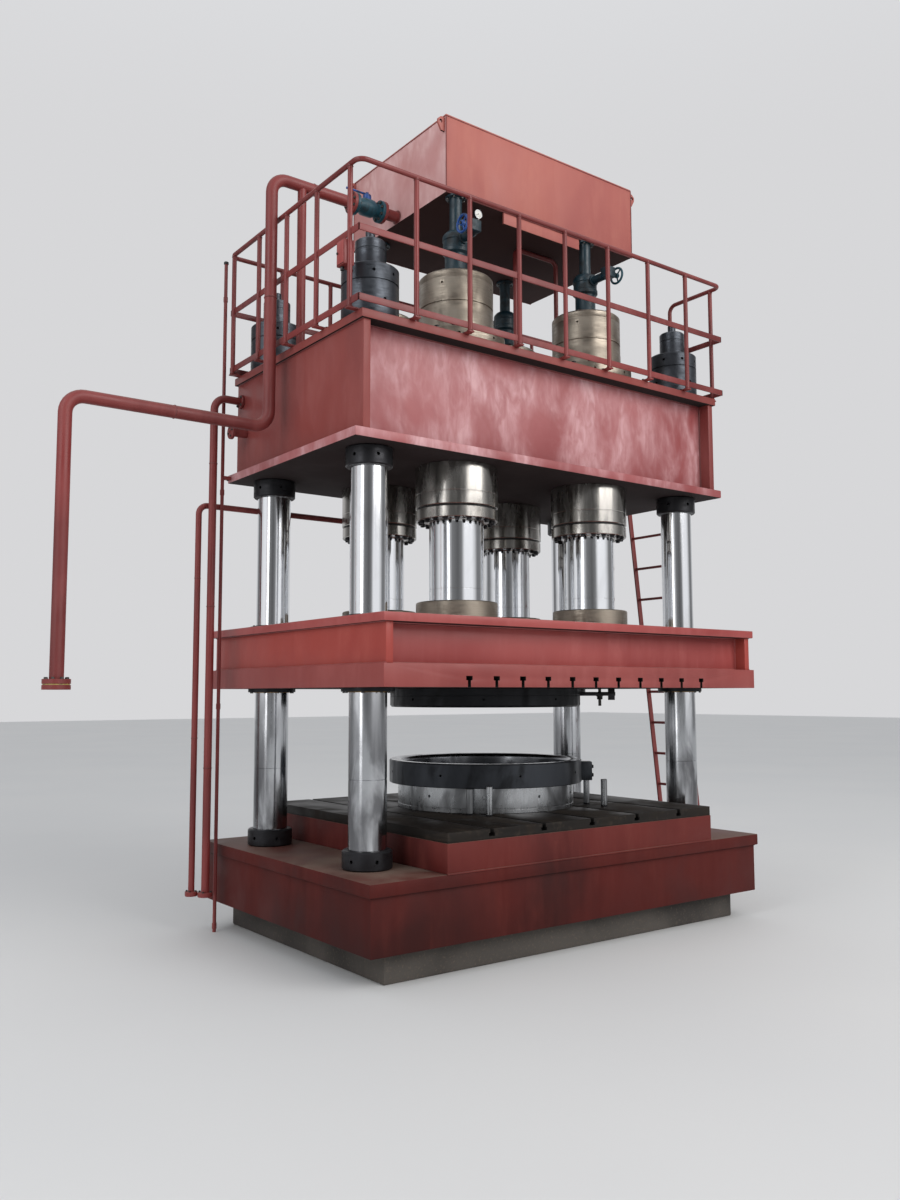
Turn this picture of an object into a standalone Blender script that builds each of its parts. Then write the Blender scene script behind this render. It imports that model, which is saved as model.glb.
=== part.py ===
"""Four-column hydraulic press with its die set, oil tank, railing, ladder and pipework.

Metres, +Z up. The origin is on the floor under the middle of the press. The front
looks along -Y, the pipework is on the -X side and the ladder on the +X side.
"""
import math

import bmesh
import bpy
from mathutils import Matrix, Vector

# Clearances and settings that all pieces share
SEAT = 0.0003
RUNNING = 0.0005
OVERRUN = 0.02
SUNK = 0.004
MERGE_DISTANCE = 0.00005
SHARP_ANGLE = math.radians(35)
COLUMN_STEPS = 16
CYLINDER_STEPS = 20
DIE_STEPS = 32
VALVE_STEPS = 12
SMALL_STEPS = 10
PIPE_SIDES = 10
RAIL_SIDES = 6
BEND_STEPS = 3
CORNERS = [
    ("front_left", -1, -1),
    ("front_right", 1, -1),
    ("rear_left", -1, 1),
    ("rear_right", 1, 1),
]

# Foundation and base
FOUNDATION_LENGTH = 3.00
FOUNDATION_DEPTH = 1.94
FOUNDATION_HEIGHT = 0.18
BASE_LENGTH = 3.34
BASE_DEPTH = 2.18
BASE_HEIGHT = 0.40
BASE_PLATE_THICKNESS = 0.075
BASE_WEB_INSET = 0.02

# Bed with its slotted plate
BED_NUT_GAP = 0.094
BED_BODY_HEIGHT = 0.172
BED_PLATE_THICKNESS = 0.06
BED_PLATE_INSET = 0.004
BED_SLOT_PITCH = 0.41
BED_SLOT_EDGE = 0.25
BED_SLOT_NECK_WIDTH = 0.028
BED_SLOT_NECK_DEPTH = 0.024
BED_SLOT_HEAD_WIDTH = 0.046
BED_SLOT_HEAD_DEPTH = 0.020

# Columns and their nuts
COLUMN_PITCH_X = 2.788
COLUMN_PITCH_Y = 1.248
COLUMN_RADIUS = 0.115
COLUMN_END_RADIUS = 0.095
COLUMN_END_HEIGHT = 0.18
COLUMN_THREAD_SHOW = 0.01
COLUMN_STUB_RADIUS = 0.03
COLUMN_STUB_HEIGHT = 0.07
BASE_NUT_RADIUS = 0.15
BASE_NUT_HEIGHT = 0.11
LOWER_NUT_RADIUS = 0.145
LOWER_NUT_HEIGHT = 0.121
UPPER_NUT_RADIUS = 0.18
UPPER_NUT_HEIGHT = 0.344
NUT_CHAMFER = 0.008

# Crown
CROWN_ABOVE_BED = 2.283
CROWN_HEIGHT = 0.77
CROWN_BOTTOM_LENGTH = 3.282
CROWN_TOP_LENGTH = 3.20
CROWN_DEPTH = 1.732
CROWN_BOTTOM_PLATE = 0.057
CROWN_TOP_PLATE = 0.054
CROWN_SIDE_LENGTH = 3.16
CROWN_SIDE_THICKNESS = 0.05
CROWN_SIDE_INSET = 0.016
CROWN_WEB_INSET = 0.106
STUB_RADIUS = 0.03
STUB_FLANGE_RADIUS = 0.052
STUB_FLANGE_THICKNESS = 0.02
STUB_REACH = 0.12
STUB_HEIGHT = 0.334
STUB_Y = 0.70

# Main cylinders through the crown
CYLINDER_PITCH_X = 1.22
CYLINDER_PITCH_Y = 0.94
CYLINDER_RADIUS = 0.275
CYLINDER_DROP = 0.276
CYLINDER_NECK_RADIUS = 0.245
GLAND_RADIUS = 0.272
GLAND_HEIGHT = 0.085
HEAD_RADIUS = 0.252
HEAD_HEIGHT = 0.519
FOOT_RADIUS = 0.33
FOOT_HEIGHT = 0.104
BORE_RADIUS = 0.19
BORE_END = 0.18

# Rams and slide
RAM_RADIUS = 0.182
RAM_FLANGE_RADIUS = 0.27
RAM_FLANGE_HEIGHT = 0.14
RAM_IN_CROWN = 0.204
PISTON_HEIGHT = 0.11
REST_DAYLIGHT = 0.828
SLIDE_LENGTH = 3.234
SLIDE_DEPTH = 2.276
SLIDE_BODY_HEIGHT = 0.284
SLIDE_TOP_PLATE = 0.052
SLIDE_SIDE_LENGTH = 3.18
SLIDE_SIDE_THICKNESS = 0.048
SLIDE_SIDE_INSET = 0.02
SLIDE_WEB_INSET = 0.108
SLIDE_PLATE_THICKNESS = 0.132
SLIDE_SLOT_PITCH = 0.205
SLIDE_SLOT_EDGE = 0.14
SLIDE_SLOT_NECK_WIDTH = 0.022
SLIDE_SLOT_NECK_DEPTH = 0.040
SLIDE_SLOT_HEAD_WIDTH = 0.046
SLIDE_SLOT_HEAD_DEPTH = 0.025
BUSH_RADIUS = 0.138
BUSH_FLANGE_RADIUS = 0.162
BUSH_FLANGE_HEIGHT = 0.024

# Upper die with its clamp strap
UPPER_DIE_RADIUS = 0.687
UPPER_DIE_HEIGHT = 0.129
UPPER_DIE_CHAMFER = 0.012
CLAMP_ANGLE = math.radians(-42)
CLAMP_REACH = 0.25
CLAMP_WIDTH = 0.06
CLAMP_THICKNESS = 0.028
CLAMP_BELOW_SLIDE = 0.026
CLAMP_HEEL_LENGTH = 0.05
CLAMP_HEEL_DROP = 0.03

# Lower rings with their lug, and the posts on the bed
SUPPORT_RING_RADIUS = 0.628
SUPPORT_RING_BORE = 0.54
SUPPORT_RING_HEIGHT = 0.168
DIE_RING_RADIUS = 0.69
DIE_RING_BORE = 0.60
DIE_RING_HEIGHT = 0.16
DIE_RING_DRAW_RADIUS = 0.03
DIE_RING_CHAMFER = 0.008
DRAW_STEPS = 2
LUG_ANGLE = math.radians(-37.2)
LUG_WIDTH = 0.10
LUG_HEIGHT = 0.135
LUG_REACH = 0.075
POST_RADIUS = 0.022
POST_HEIGHT = 0.19
POST_RING_GAP = 0.029
POST_OUTER_GAP = 0.034
POST_LUG_GAP = 0.06
POST_ANGLES = {
    "front_left_inner": math.radians(-137.4),
    "front_left_outer": math.radians(-126.7),
    "front_right_inner": LUG_ANGLE,
    "front_right_outer": math.radians(-48.1),
}

# Oil tank and the stand under it
TANK_LENGTH = 1.806
TANK_DEPTH = 1.198
TANK_HEIGHT = 0.553
TANK_ABOVE_CROWN = 1.125
TANK_OFFSET_X = 0.192
TANK_OFFSET_Y = 0.101
TANK_SKIRT_LEFT = -0.201
TANK_SKIRT_RIGHT = 0.53
TANK_SKIRT_HEIGHT = 0.083
TANK_SKIRT_THICKNESS = 0.016
TANK_LUG_REACH = 0.055
TANK_LUG_THICKNESS = 0.016
TANK_LUG_HEIGHT = 0.10
TANK_LUG_BELOW_TOP = 0.02
TANK_NOZZLE_LENGTH = 0.14
TANK_NOZZLE_HEIGHT = 0.044
PORTAL_LEFT = 0.229
PORTAL_RIGHT = 0.645
PORTAL_Y = -0.11
PORTAL_RADIUS = 0.0175
PORTAL_BEND = 0.05

# Prefill valves between the cylinder heads and the tank
PREFILL_NECK_RADIUS = 0.075
PREFILL_NECK_HEIGHT = 0.195
PREFILL_BODY_RADIUS = 0.092
PREFILL_BODY_HEIGHT = 0.12
PREFILL_SHOULDER_HEIGHT = 0.03
PREFILL_PIPE_RADIUS = 0.042
PREFILL_FLANGE_RADIUS = 0.07
PREFILL_FLANGE_THICKNESS = 0.018
GEARBOX_OFFSET_Y = 0.22
GEARBOX_OFFSET_X = 0.02
GEARBOX_SIZE = 0.08
GEARBOX_HEIGHT = 0.305
GEARBOX_ARM_RADIUS = 0.03
SPINDLE_RADIUS = 0.009
SPINDLE_PAST_HUB = 0.006
WHEEL_OFFSET_X = 0.11
WHEEL_RADIUS = 0.065
WHEEL_RIM_RADIUS = 0.0085
WHEEL_HUB_RADIUS = 0.018
WHEEL_HUB_LENGTH = 0.026
WHEEL_SPOKE_RADIUS = 0.0055
WHEEL_SPOKES = 3
WHEEL_HUB_STEPS = 12
WHEEL_RIM_STEPS = 14
WHEEL_RIM_SIDES = 5
GAUGE_OFFSET_X = 0.19
GAUGE_HEIGHT = 0.535
GAUGE_STEM_HEIGHT = 0.455
GAUGE_STEM_RADIUS = 0.008
GAUGE_RADIUS = 0.032
GAUGE_THICKNESS = 0.024

# Railing round the deck
RAILING_LENGTH = 3.296
RAILING_FRONT = -0.90
RAILING_REAR = 0.85
RAILING_RIGHT_END = -0.39
RAILING_RADIUS = 0.016
RAILING_TOP = 0.892
RAILING_MIDDLE = 0.471
RAILING_BOTTOM = 0.048
RAILING_BEND = 0.06
RAILING_BAR_WIDTH = 0.042
RAILING_BAR_THICKNESS = 0.008
RAILING_POST_PITCH = 0.412
RAILING_POST_COUNT = 7
RAILING_SIDE_PITCH = 0.40
RAILING_SIDE_COUNT = 5
RAILING_SIDE_CENTRE = 0
RAILING_FOOT_WIDTH = 0.04
RAILING_FOOT_THICKNESS = 0.010
RAILING_FOOT_REST = 0.05
JUNCTION_BOX_SIZE = (0.07, 0.09, 0.155)
JUNCTION_BOX_OFFSET = 0.005
JUNCTION_BOX_HEIGHT = 0.2715

# Ladder
LADDER_PITCH_Y = 0.40
LADDER_FOOT_X = 2.162
LADDER_TOP_X = 1.667
LADDER_STILE_WIDTH = 0.045
LADDER_STILE_THICKNESS = 0.012
LADDER_RUNG_RADIUS = 0.011
LADDER_RUNG_PITCH = 0.2605
LADDER_FIRST_RUNG = 0.316
LADDER_HOOK_HEIGHT = 0.04

# Return pipe from the tank, with its valve
RETURN_RADIUS = 0.04
RETURN_Y = 0.10
RETURN_RAILING_GAP = 0.006
RETURN_BEND = 0.11
RETURN_RUN_HEIGHT = 0.234
RETURN_OUTER_X = -3.00
RETURN_END_HEIGHT = 1.63
RETURN_FLANGE_RADIUS = 0.078
RETURN_FLANGE_THICKNESS = 0.022
RETURN_END_FLANGE_THICKNESS = 0.06
STAND_PIPE_X = -1.485
STAND_PIPE_RADIUS = 0.03
STAND_PIPE_FOOT_RADIUS = 0.055
STAND_PIPE_FOOT_THICKNESS = 0.012
VALVE_LENGTH = 0.23
VALVE_BODY_RADIUS = 0.062
VALVE_NECK_RADIUS = 0.045
VALVE_BONNET_RADIUS = 0.03
VALVE_BONNET_HEIGHT = 0.11
VALVE_LEVER_LENGTH = 0.17
VALVE_LEVER_RADIUS = 0.008

# Pressure pipes and conduit on the left side
FEED_RADIUS = 0.027
FEED_X = -1.79
FEED_Y = 0.78
FEED_HEIGHT = 0.584
FEED_BEND = 0.09
FEED_FLANGE_RADIUS = 0.05
FEED_FLANGE_THICKNESS = 0.03
FEED_END_HEIGHT = 0.25
LIFT_RADIUS = 0.021
LIFT_X = -1.853
LIFT_Y = 0.865
LIFT_BELOW_CROWN = 0.176
LIFT_BEND = 0.065
LIFT_FLANGE_RADIUS = 0.042
CONDUIT_RADIUS = 0.0125
CONDUIT_X = -1.70
CONDUIT_Y = 0.825
CONDUIT_TOP = 0.834
CONDUIT_CLIP_WIDTH = 0.03
CONDUIT_CLIP_HEIGHT = 0.025

# Paints and bare metals: colour, roughness, metallic
RED_PAINT = ((0.42, 0.085, 0.075), 0.45, 0.0)
RED_PRIMER = ((0.47, 0.16, 0.15), 0.6, 0.0)
DARK_RED_PAINT = ((0.20, 0.045, 0.04), 0.55, 0.0)
POLISHED = ((0.72, 0.73, 0.75), 0.12, 1.0)
MACHINED = ((0.45, 0.42, 0.38), 0.38, 1.0)
DARK_STEEL = ((0.07, 0.07, 0.075), 0.45, 0.8)
BLACK_STEEL = ((0.03, 0.03, 0.032), 0.5, 0.7)
BRIGHT_STEEL = ((0.60, 0.61, 0.62), 0.28, 1.0)
BLUE_PAINT = ((0.02, 0.10, 0.32), 0.4, 0.0)
TEAL_PAINT = ((0.03, 0.20, 0.25), 0.45, 0.0)
CONCRETE = ((0.09, 0.085, 0.08), 0.9, 0.0)
BRONZE = ((0.35, 0.24, 0.12), 0.4, 1.0)

# Levels, from the floor up
base_bottom = FOUNDATION_HEIGHT + SEAT
base_top = base_bottom + BASE_HEIGHT
bed_bottom = base_top + SEAT
bed_body_top = bed_bottom + BED_BODY_HEIGHT
bed_plate_bottom = bed_body_top + SEAT
bed_top = bed_plate_bottom + BED_PLATE_THICKNESS
slide_bottom = bed_top + REST_DAYLIGHT
slide_body_bottom = slide_bottom + SLIDE_PLATE_THICKNESS + SEAT
slide_top = slide_body_bottom + SLIDE_BODY_HEIGHT
crown_bottom = bed_top + CROWN_ABOVE_BED
crown_top = crown_bottom + CROWN_HEIGHT
head_top = crown_top + SEAT + HEAD_HEIGHT
tank_bottom = crown_top + TANK_ABOVE_CROWN
tank_top = tank_bottom + TANK_HEIGHT
ring_bottom = bed_top + SEAT
ring_top = ring_bottom + SUPPORT_RING_HEIGHT
die_ring_bottom = ring_top + SEAT
tank_left = TANK_OFFSET_X - TANK_LENGTH / 2
tank_right = TANK_OFFSET_X + TANK_LENGTH / 2
tank_front = TANK_OFFSET_Y - TANK_DEPTH / 2
tank_rear = TANK_OFFSET_Y + TANK_DEPTH / 2
return_level = tank_bottom + TANK_NOZZLE_HEIGHT


# Scene and helpers
def clear_scene():
    for old in list(bpy.data.objects):
        bpy.data.objects.remove(old)


def new_collection(name):
    collection = bpy.data.collections.new(name)
    bpy.context.scene.collection.children.link(collection)
    return collection


def add_object(name, mesh, location=(0, 0, 0), collection=None):
    piece = bpy.data.objects.new(name, mesh)
    piece.location = location
    (collection or parts).objects.link(piece)
    return piece


def paint(piece, finish):
    colour, roughness, metallic = finish
    material = bpy.data.materials.new(piece.name)
    material.use_nodes = True
    shader = material.node_tree.nodes["Principled BSDF"]
    shader.inputs["Base Color"].default_value = (*colour, 1)
    shader.inputs["Roughness"].default_value = roughness
    shader.inputs["Metallic"].default_value = metallic
    piece.data.materials.clear()
    piece.data.materials.append(material)


def box_mesh(name, low, high):
    """A box between two opposite corners."""
    low, high = Vector(low), Vector(high)
    cube = bmesh.new()
    bmesh.ops.create_cube(cube, size=1)
    bmesh.ops.scale(cube, vec=high - low, verts=cube.verts)
    bmesh.ops.translate(cube, vec=(low + high) / 2, verts=cube.verts)
    mesh = bpy.data.meshes.new(name)
    cube.to_mesh(mesh)
    cube.free()
    return mesh


def evaluated_mesh(piece):
    """The mesh that an object's curve or modifiers give."""
    graph = bpy.context.evaluated_depsgraph_get()
    return bpy.data.meshes.new_from_object(piece.evaluated_get(graph))


def closed_mesh(blank):
    """The mesh of a helper object, welded and facing out. The helper is removed."""
    mesh = evaluated_mesh(blank)
    bpy.data.objects.remove(blank)
    shape = bmesh.new()
    shape.from_mesh(mesh)
    bmesh.ops.remove_doubles(shape, verts=shape.verts, dist=MERGE_DISTANCE)
    bmesh.ops.recalc_face_normals(shape, faces=shape.faces)
    shape.to_mesh(mesh)
    shape.free()
    return mesh


def turned_mesh(name, profile, steps, ring=False):
    """A turned shape about Z. The profile of (radius, height) runs down its outer side."""
    outline = bpy.data.meshes.new(name)
    points = [(radius, 0, height) for radius, height in profile]
    edges = [(index, index + 1) for index in range(len(points) - 1)]
    if ring:
        edges.append((len(points) - 1, 0))
    outline.from_pydata(points, edges, [])
    blank = add_object(name, outline, collection=tools)
    screw = blank.modifiers.new("turn", "SCREW")
    screw.steps = steps
    screw.render_steps = steps
    screw.use_merge_vertices = True
    screw.merge_threshold = MERGE_DISTANCE
    return closed_mesh(blank)


def disc_mesh(name, radius, low, high, steps):
    profile = [(0, high), (radius, high), (radius, low), (0, low)]
    return turned_mesh(name, profile, steps)


def ring_mesh(name, radius, bore, low, high, steps, chamfer=0):
    """A ring with a chamfer round its upper outer edge."""
    profile = [(radius, high - chamfer), (radius, low), (bore, low), (bore, high)]
    if chamfer:
        profile.append((radius - chamfer, high))
    return turned_mesh(name, profile, steps, ring=True)


def bent_path(corners, bend_radius):
    """Points along straight runs whose corners are arcs of one radius."""
    corners = [Vector(corner) for corner in corners]
    points = [corners[0]]
    for before, corner, after in zip(corners, corners[1:], corners[2:]):
        into = (corner - before).normalized()
        out = (after - corner).normalized()
        turn = into.angle(out)
        start = corner - into * bend_radius * math.tan(turn / 2)
        centre = corner + (out - into).normalized() * bend_radius / math.cos(turn / 2)
        for step in range(BEND_STEPS + 1):
            swing = Matrix.Rotation(turn * step / BEND_STEPS, 3, into.cross(out))
            points.append(centre + swing @ (start - centre))
    points.append(corners[-1])
    return points


def tube_mesh(name, points, radius, sides):
    """A round bar along a line of points, closed at both ends."""
    curve = bpy.data.curves.new(name, "CURVE")
    curve.dimensions = "3D"
    curve.bevel_depth = radius
    curve.bevel_resolution = (sides - 4) // 2
    curve.use_fill_caps = True
    spline = curve.splines.new("POLY")
    spline.points.add(len(points) - 1)
    for point, place in zip(spline.points, points):
        point.co = (*place, 1)
    return closed_mesh(add_object(name, curve, collection=tools))


def plate_mesh(name, outlines, middle, thickness):
    """Flat outlines of (x, z) points, as thick as given along Y about the middle."""
    curve = bpy.data.curves.new(name, "CURVE")
    curve.dimensions = "2D"
    curve.fill_mode = "BOTH"
    curve.extrude = thickness / 2
    for outline in outlines:
        spline = curve.splines.new("POLY")
        spline.points.add(len(outline) - 1)
        for point, (along, up) in zip(spline.points, outline):
            point.co = (along, up, 0, 1)
        spline.use_cyclic_u = True
    mesh = closed_mesh(add_object(name, curve, collection=tools))
    mesh.transform(Matrix.Rotation(math.radians(90), 4, "X"))
    mesh.transform(Matrix.Translation((0, middle, 0)))
    return mesh


def joined_mesh(name, meshes):
    """Several separate closed shapes in one mesh, for one cutter."""
    shape = bmesh.new()
    for mesh in meshes:
        shape.from_mesh(mesh)
    joined = bpy.data.meshes.new(name)
    shape.to_mesh(joined)
    shape.free()
    return joined


def moved(mesh, offset, turn=0, about="Z"):
    """The mesh turned about an axis through the origin, then shifted."""
    mesh.transform(Matrix.Translation(offset) @ Matrix.Rotation(turn, 4, about))
    return mesh


def combine(piece, mesh, operation, solver="EXACT"):
    tool = add_object(piece.name + "_tool", mesh, collection=tools)
    tool.hide_render = True
    tool.display_type = "WIRE"
    boolean = piece.modifiers.new(operation.lower(), "BOOLEAN")
    boolean.operation = operation
    boolean.solver = solver
    boolean.object = tool


def weld(piece, *meshes):
    for mesh in meshes:
        combine(piece, mesh, "UNION")


def weld_bars(piece, *meshes):
    """Joins bars and tubes whose edges line up."""
    for mesh in meshes:
        combine(piece, mesh, "UNION", "MANIFOLD")


def cut(piece, *meshes):
    for mesh in meshes:
        combine(piece, mesh, "DIFFERENCE")


def four_places(pitch_x, pitch_y):
    return [
        (name, side * pitch_x / 2, face * pitch_y / 2, side, face)
        for name, side, face in CORNERS
    ]


def four_holes(name, pitch_x, pitch_y, radius, low, high, steps):
    """One cutter with a hole at each of four corners, past both faces."""
    holes = [
        moved(disc_mesh(name, radius, low - OVERRUN, high + OVERRUN, steps), (x, y, 0))
        for _, x, y, _, _ in four_places(pitch_x, pitch_y)
    ]
    return joined_mesh(name, holes)


def slot_outline(centre, face, up, neck_width, neck_depth, head_width, head_depth):
    """Section of a T-slot whose mouth is at a face and whose head lies further in."""
    mouth = face + up * OVERRUN
    shoulder = face - up * neck_depth
    floor = shoulder - up * head_depth
    half = [
        (neck_width / 2, mouth),
        (neck_width / 2, shoulder),
        (head_width / 2, shoulder),
        (head_width / 2, floor),
    ]
    other_half = [(-across, level) for across, level in reversed(half)]
    return [(centre + across, level) for across, level in half + other_half]


def slot_centres(field, pitch):
    """Evenly pitched places about the middle, as many as the field holds."""
    reach = int(field / pitch)
    return [index * pitch for index in range(-reach, reach + 1)]


# Fixed structure
def build_foundation():
    reach = (FOUNDATION_LENGTH / 2, FOUNDATION_DEPTH / 2)
    low = (-reach[0], -reach[1], 0)
    high = (reach[0], reach[1], FOUNDATION_HEIGHT)
    paint(add_object("foundation", box_mesh("foundation", low, high)), CONCRETE)


def build_base():
    plate_bottom = base_top - BASE_PLATE_THICKNESS
    web_x = BASE_LENGTH / 2 - BASE_WEB_INSET
    web_y = BASE_DEPTH / 2 - BASE_WEB_INSET
    base = add_object("base", box_mesh(
        "base", (-BASE_LENGTH / 2, -BASE_DEPTH / 2, plate_bottom),
        (BASE_LENGTH / 2, BASE_DEPTH / 2, base_top)))
    web = box_mesh("base", (-web_x, -web_y, base_bottom), (web_x, web_y, base_top - SUNK))
    weld(base, web)
    cut(base, four_holes("base", COLUMN_PITCH_X, COLUMN_PITCH_Y, COLUMN_RADIUS + SEAT,
                         base_bottom, base_top, COLUMN_STEPS))
    paint(base, DARK_RED_PAINT)


def build_bed():
    side_x = COLUMN_PITCH_X / 2 - BASE_NUT_RADIUS - BED_NUT_GAP
    side_y = BASE_DEPTH / 2
    body = add_object("bed_body", box_mesh(
        "bed_body", (-side_x, -side_y, bed_bottom), (side_x, side_y, bed_body_top)))
    paint(body, RED_PAINT)
    half_length = side_x - BED_PLATE_INSET
    half_depth = side_y - BED_PLATE_INSET
    plate = add_object("bed_slot_plate", box_mesh(
        "bed_slot_plate", (-half_length, -half_depth, bed_plate_bottom),
        (half_length, half_depth, bed_top)))
    outlines = [
        slot_outline(centre, bed_top, 1, BED_SLOT_NECK_WIDTH, BED_SLOT_NECK_DEPTH,
                     BED_SLOT_HEAD_WIDTH, BED_SLOT_HEAD_DEPTH)
        for centre in slot_centres(half_length - BED_SLOT_EDGE, BED_SLOT_PITCH)
    ]
    cut(plate, plate_mesh("bed_slots", outlines, 0, BASE_DEPTH + OVERRUN))
    paint(plate, DARK_STEEL)


def build_columns():
    nut_top = crown_top + SEAT + UPPER_NUT_HEIGHT
    thread_top = nut_top + COLUMN_THREAD_SHOW
    end_top = thread_top + COLUMN_END_HEIGHT
    stub_top = end_top + COLUMN_STUB_HEIGHT
    profile = [
        (0, stub_top), (COLUMN_STUB_RADIUS, stub_top), (COLUMN_STUB_RADIUS, end_top),
        (COLUMN_END_RADIUS, end_top), (COLUMN_END_RADIUS, thread_top),
        (COLUMN_RADIUS, thread_top), (COLUMN_RADIUS, base_bottom), (0, base_bottom),
    ]
    nut_bore = COLUMN_RADIUS + SEAT
    nuts = {
        "base_nut": (BASE_NUT_RADIUS, base_top + SEAT, base_top + SEAT + BASE_NUT_HEIGHT),
        "lower_crown_nut": (LOWER_NUT_RADIUS, crown_bottom - SEAT - LOWER_NUT_HEIGHT,
                            crown_bottom - SEAT),
        "upper_crown_nut": (UPPER_NUT_RADIUS, crown_top + SEAT, nut_top),
    }
    for name, x, y, _, _ in four_places(COLUMN_PITCH_X, COLUMN_PITCH_Y):
        column = turned_mesh("column", profile, COLUMN_STEPS)
        paint(add_object(f"column_{name}", column, (x, y, 0)), POLISHED)
        for kind, (radius, low, high) in nuts.items():
            nut = ring_mesh(kind, radius, nut_bore, low, high, COLUMN_STEPS, NUT_CHAMFER)
            paint(add_object(f"{kind}_{name}", nut, (x, y, 0)), BLACK_STEEL)


def build_crown():
    top_plate_bottom = crown_top - CROWN_TOP_PLATE
    bottom_plate_top = crown_bottom + CROWN_BOTTOM_PLATE
    half_depth = CROWN_DEPTH / 2
    crown = add_object("crown", box_mesh(
        "crown", (-CROWN_BOTTOM_LENGTH / 2, -half_depth, crown_bottom),
        (CROWN_BOTTOM_LENGTH / 2, half_depth, bottom_plate_top)))
    top_plate = box_mesh("crown", (-CROWN_TOP_LENGTH / 2, -half_depth, top_plate_bottom),
                         (CROWN_TOP_LENGTH / 2, half_depth, crown_top))
    web_x = CROWN_SIDE_LENGTH / 2 - SUNK
    web_y = half_depth - CROWN_WEB_INSET
    web = box_mesh("crown", (-web_x, -web_y, crown_bottom + SUNK),
                   (web_x, web_y, crown_top - SUNK))
    side_y = half_depth - CROWN_SIDE_INSET
    sides = []
    for side in (-1, 1):
        outer = side * CROWN_SIDE_LENGTH / 2
        inner = side * (CROWN_SIDE_LENGTH / 2 - CROWN_SIDE_THICKNESS)
        sides.append(box_mesh(
            "crown", (min(outer, inner), -side_y, bottom_plate_top - SUNK),
            (max(outer, inner), side_y, top_plate_bottom + SUNK)))
    face = -CROWN_SIDE_LENGTH / 2
    level = crown_bottom + STUB_HEIGHT
    stub = tube_mesh("crown", [(face + SUNK, STUB_Y, level), (face - STUB_REACH, STUB_Y, level)],
                     STUB_RADIUS, PIPE_SIDES)
    flange = moved(disc_mesh("crown", STUB_FLANGE_RADIUS, 0, STUB_FLANGE_THICKNESS, SMALL_STEPS),
                   (face - STUB_REACH - SUNK, STUB_Y, level), math.radians(90), "Y")
    weld(crown, top_plate, web, *sides, stub, flange)
    cut(crown,
        four_holes("crown", COLUMN_PITCH_X, COLUMN_PITCH_Y, COLUMN_RADIUS + SEAT,
                   crown_bottom, crown_top, COLUMN_STEPS),
        four_holes("crown", CYLINDER_PITCH_X, CYLINDER_PITCH_Y, CYLINDER_NECK_RADIUS + SEAT,
                   crown_bottom, crown_top, CYLINDER_STEPS))
    paint(crown, RED_PRIMER)


def build_cylinders():
    foot_bottom = crown_top + SEAT
    foot_top = foot_bottom + FOOT_HEIGHT
    body_top = crown_bottom - SEAT
    body_bottom = body_top - CYLINDER_DROP
    gland_bottom = body_bottom - GLAND_HEIGHT
    ram_bore = RAM_RADIUS + RUNNING
    bore_top = head_top - BORE_END
    profile = [
        (0, head_top), (HEAD_RADIUS, head_top), (HEAD_RADIUS, foot_top),
        (FOOT_RADIUS, foot_top), (FOOT_RADIUS, foot_bottom),
        (CYLINDER_NECK_RADIUS, foot_bottom), (CYLINDER_NECK_RADIUS, body_top),
        (CYLINDER_RADIUS, body_top), (CYLINDER_RADIUS, body_bottom),
        (GLAND_RADIUS, body_bottom), (GLAND_RADIUS, gland_bottom),
        (ram_bore, gland_bottom), (ram_bore, body_bottom),
        (BORE_RADIUS, body_bottom), (BORE_RADIUS, bore_top), (0, bore_top),
    ]
    for name, x, y, _, _ in four_places(CYLINDER_PITCH_X, CYLINDER_PITCH_Y):
        cylinder = turned_mesh("main_cylinder", profile, CYLINDER_STEPS)
        paint(add_object(f"main_cylinder_{name}", cylinder, (x, y, 0)), MACHINED)


# Moving slide
def build_rams():
    flange_bottom = slide_top + SEAT
    flange_top = flange_bottom + RAM_FLANGE_HEIGHT
    ram_top = crown_bottom + RAM_IN_CROWN
    piston_bottom = ram_top - PISTON_HEIGHT
    piston = BORE_RADIUS - RUNNING
    profile = [
        (0, ram_top), (piston, ram_top), (piston, piston_bottom), (RAM_RADIUS, piston_bottom),
        (RAM_RADIUS, flange_top), (RAM_FLANGE_RADIUS, flange_top),
        (RAM_FLANGE_RADIUS, flange_bottom), (0, flange_bottom),
    ]
    rams = []
    for name, x, y, _, _ in four_places(CYLINDER_PITCH_X, CYLINDER_PITCH_Y):
        ram = add_object(f"ram_{name}", turned_mesh("ram", profile, CYLINDER_STEPS), (x, y, 0))
        paint(ram, POLISHED)
        rams.append(ram)
    return rams


def build_slide():
    half_length, half_depth = SLIDE_LENGTH / 2, SLIDE_DEPTH / 2
    plate_bottom = slide_top - SLIDE_TOP_PLATE
    slide = add_object("slide_body", box_mesh(
        "slide_body", (-half_length, -half_depth, plate_bottom),
        (half_length, half_depth, slide_top)))
    web_x = SLIDE_SIDE_LENGTH / 2 - SUNK
    web_y = half_depth - SLIDE_WEB_INSET
    web = box_mesh("slide_body", (-web_x, -web_y, slide_body_bottom),
                   (web_x, web_y, slide_top - SUNK))
    side_y = half_depth - SLIDE_SIDE_INSET
    sides = []
    for side in (-1, 1):
        outer = side * SLIDE_SIDE_LENGTH / 2
        inner = side * (SLIDE_SIDE_LENGTH / 2 - SLIDE_SIDE_THICKNESS)
        sides.append(box_mesh(
            "slide_body", (min(outer, inner), -side_y, slide_body_bottom),
            (max(outer, inner), side_y, plate_bottom + SUNK)))
    weld(slide, web, *sides)
    cut(slide, four_holes("slide_body", COLUMN_PITCH_X, COLUMN_PITCH_Y, BUSH_RADIUS + SEAT,
                          slide_body_bottom, slide_top, COLUMN_STEPS))
    paint(slide, RED_PAINT)
    return slide


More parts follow.
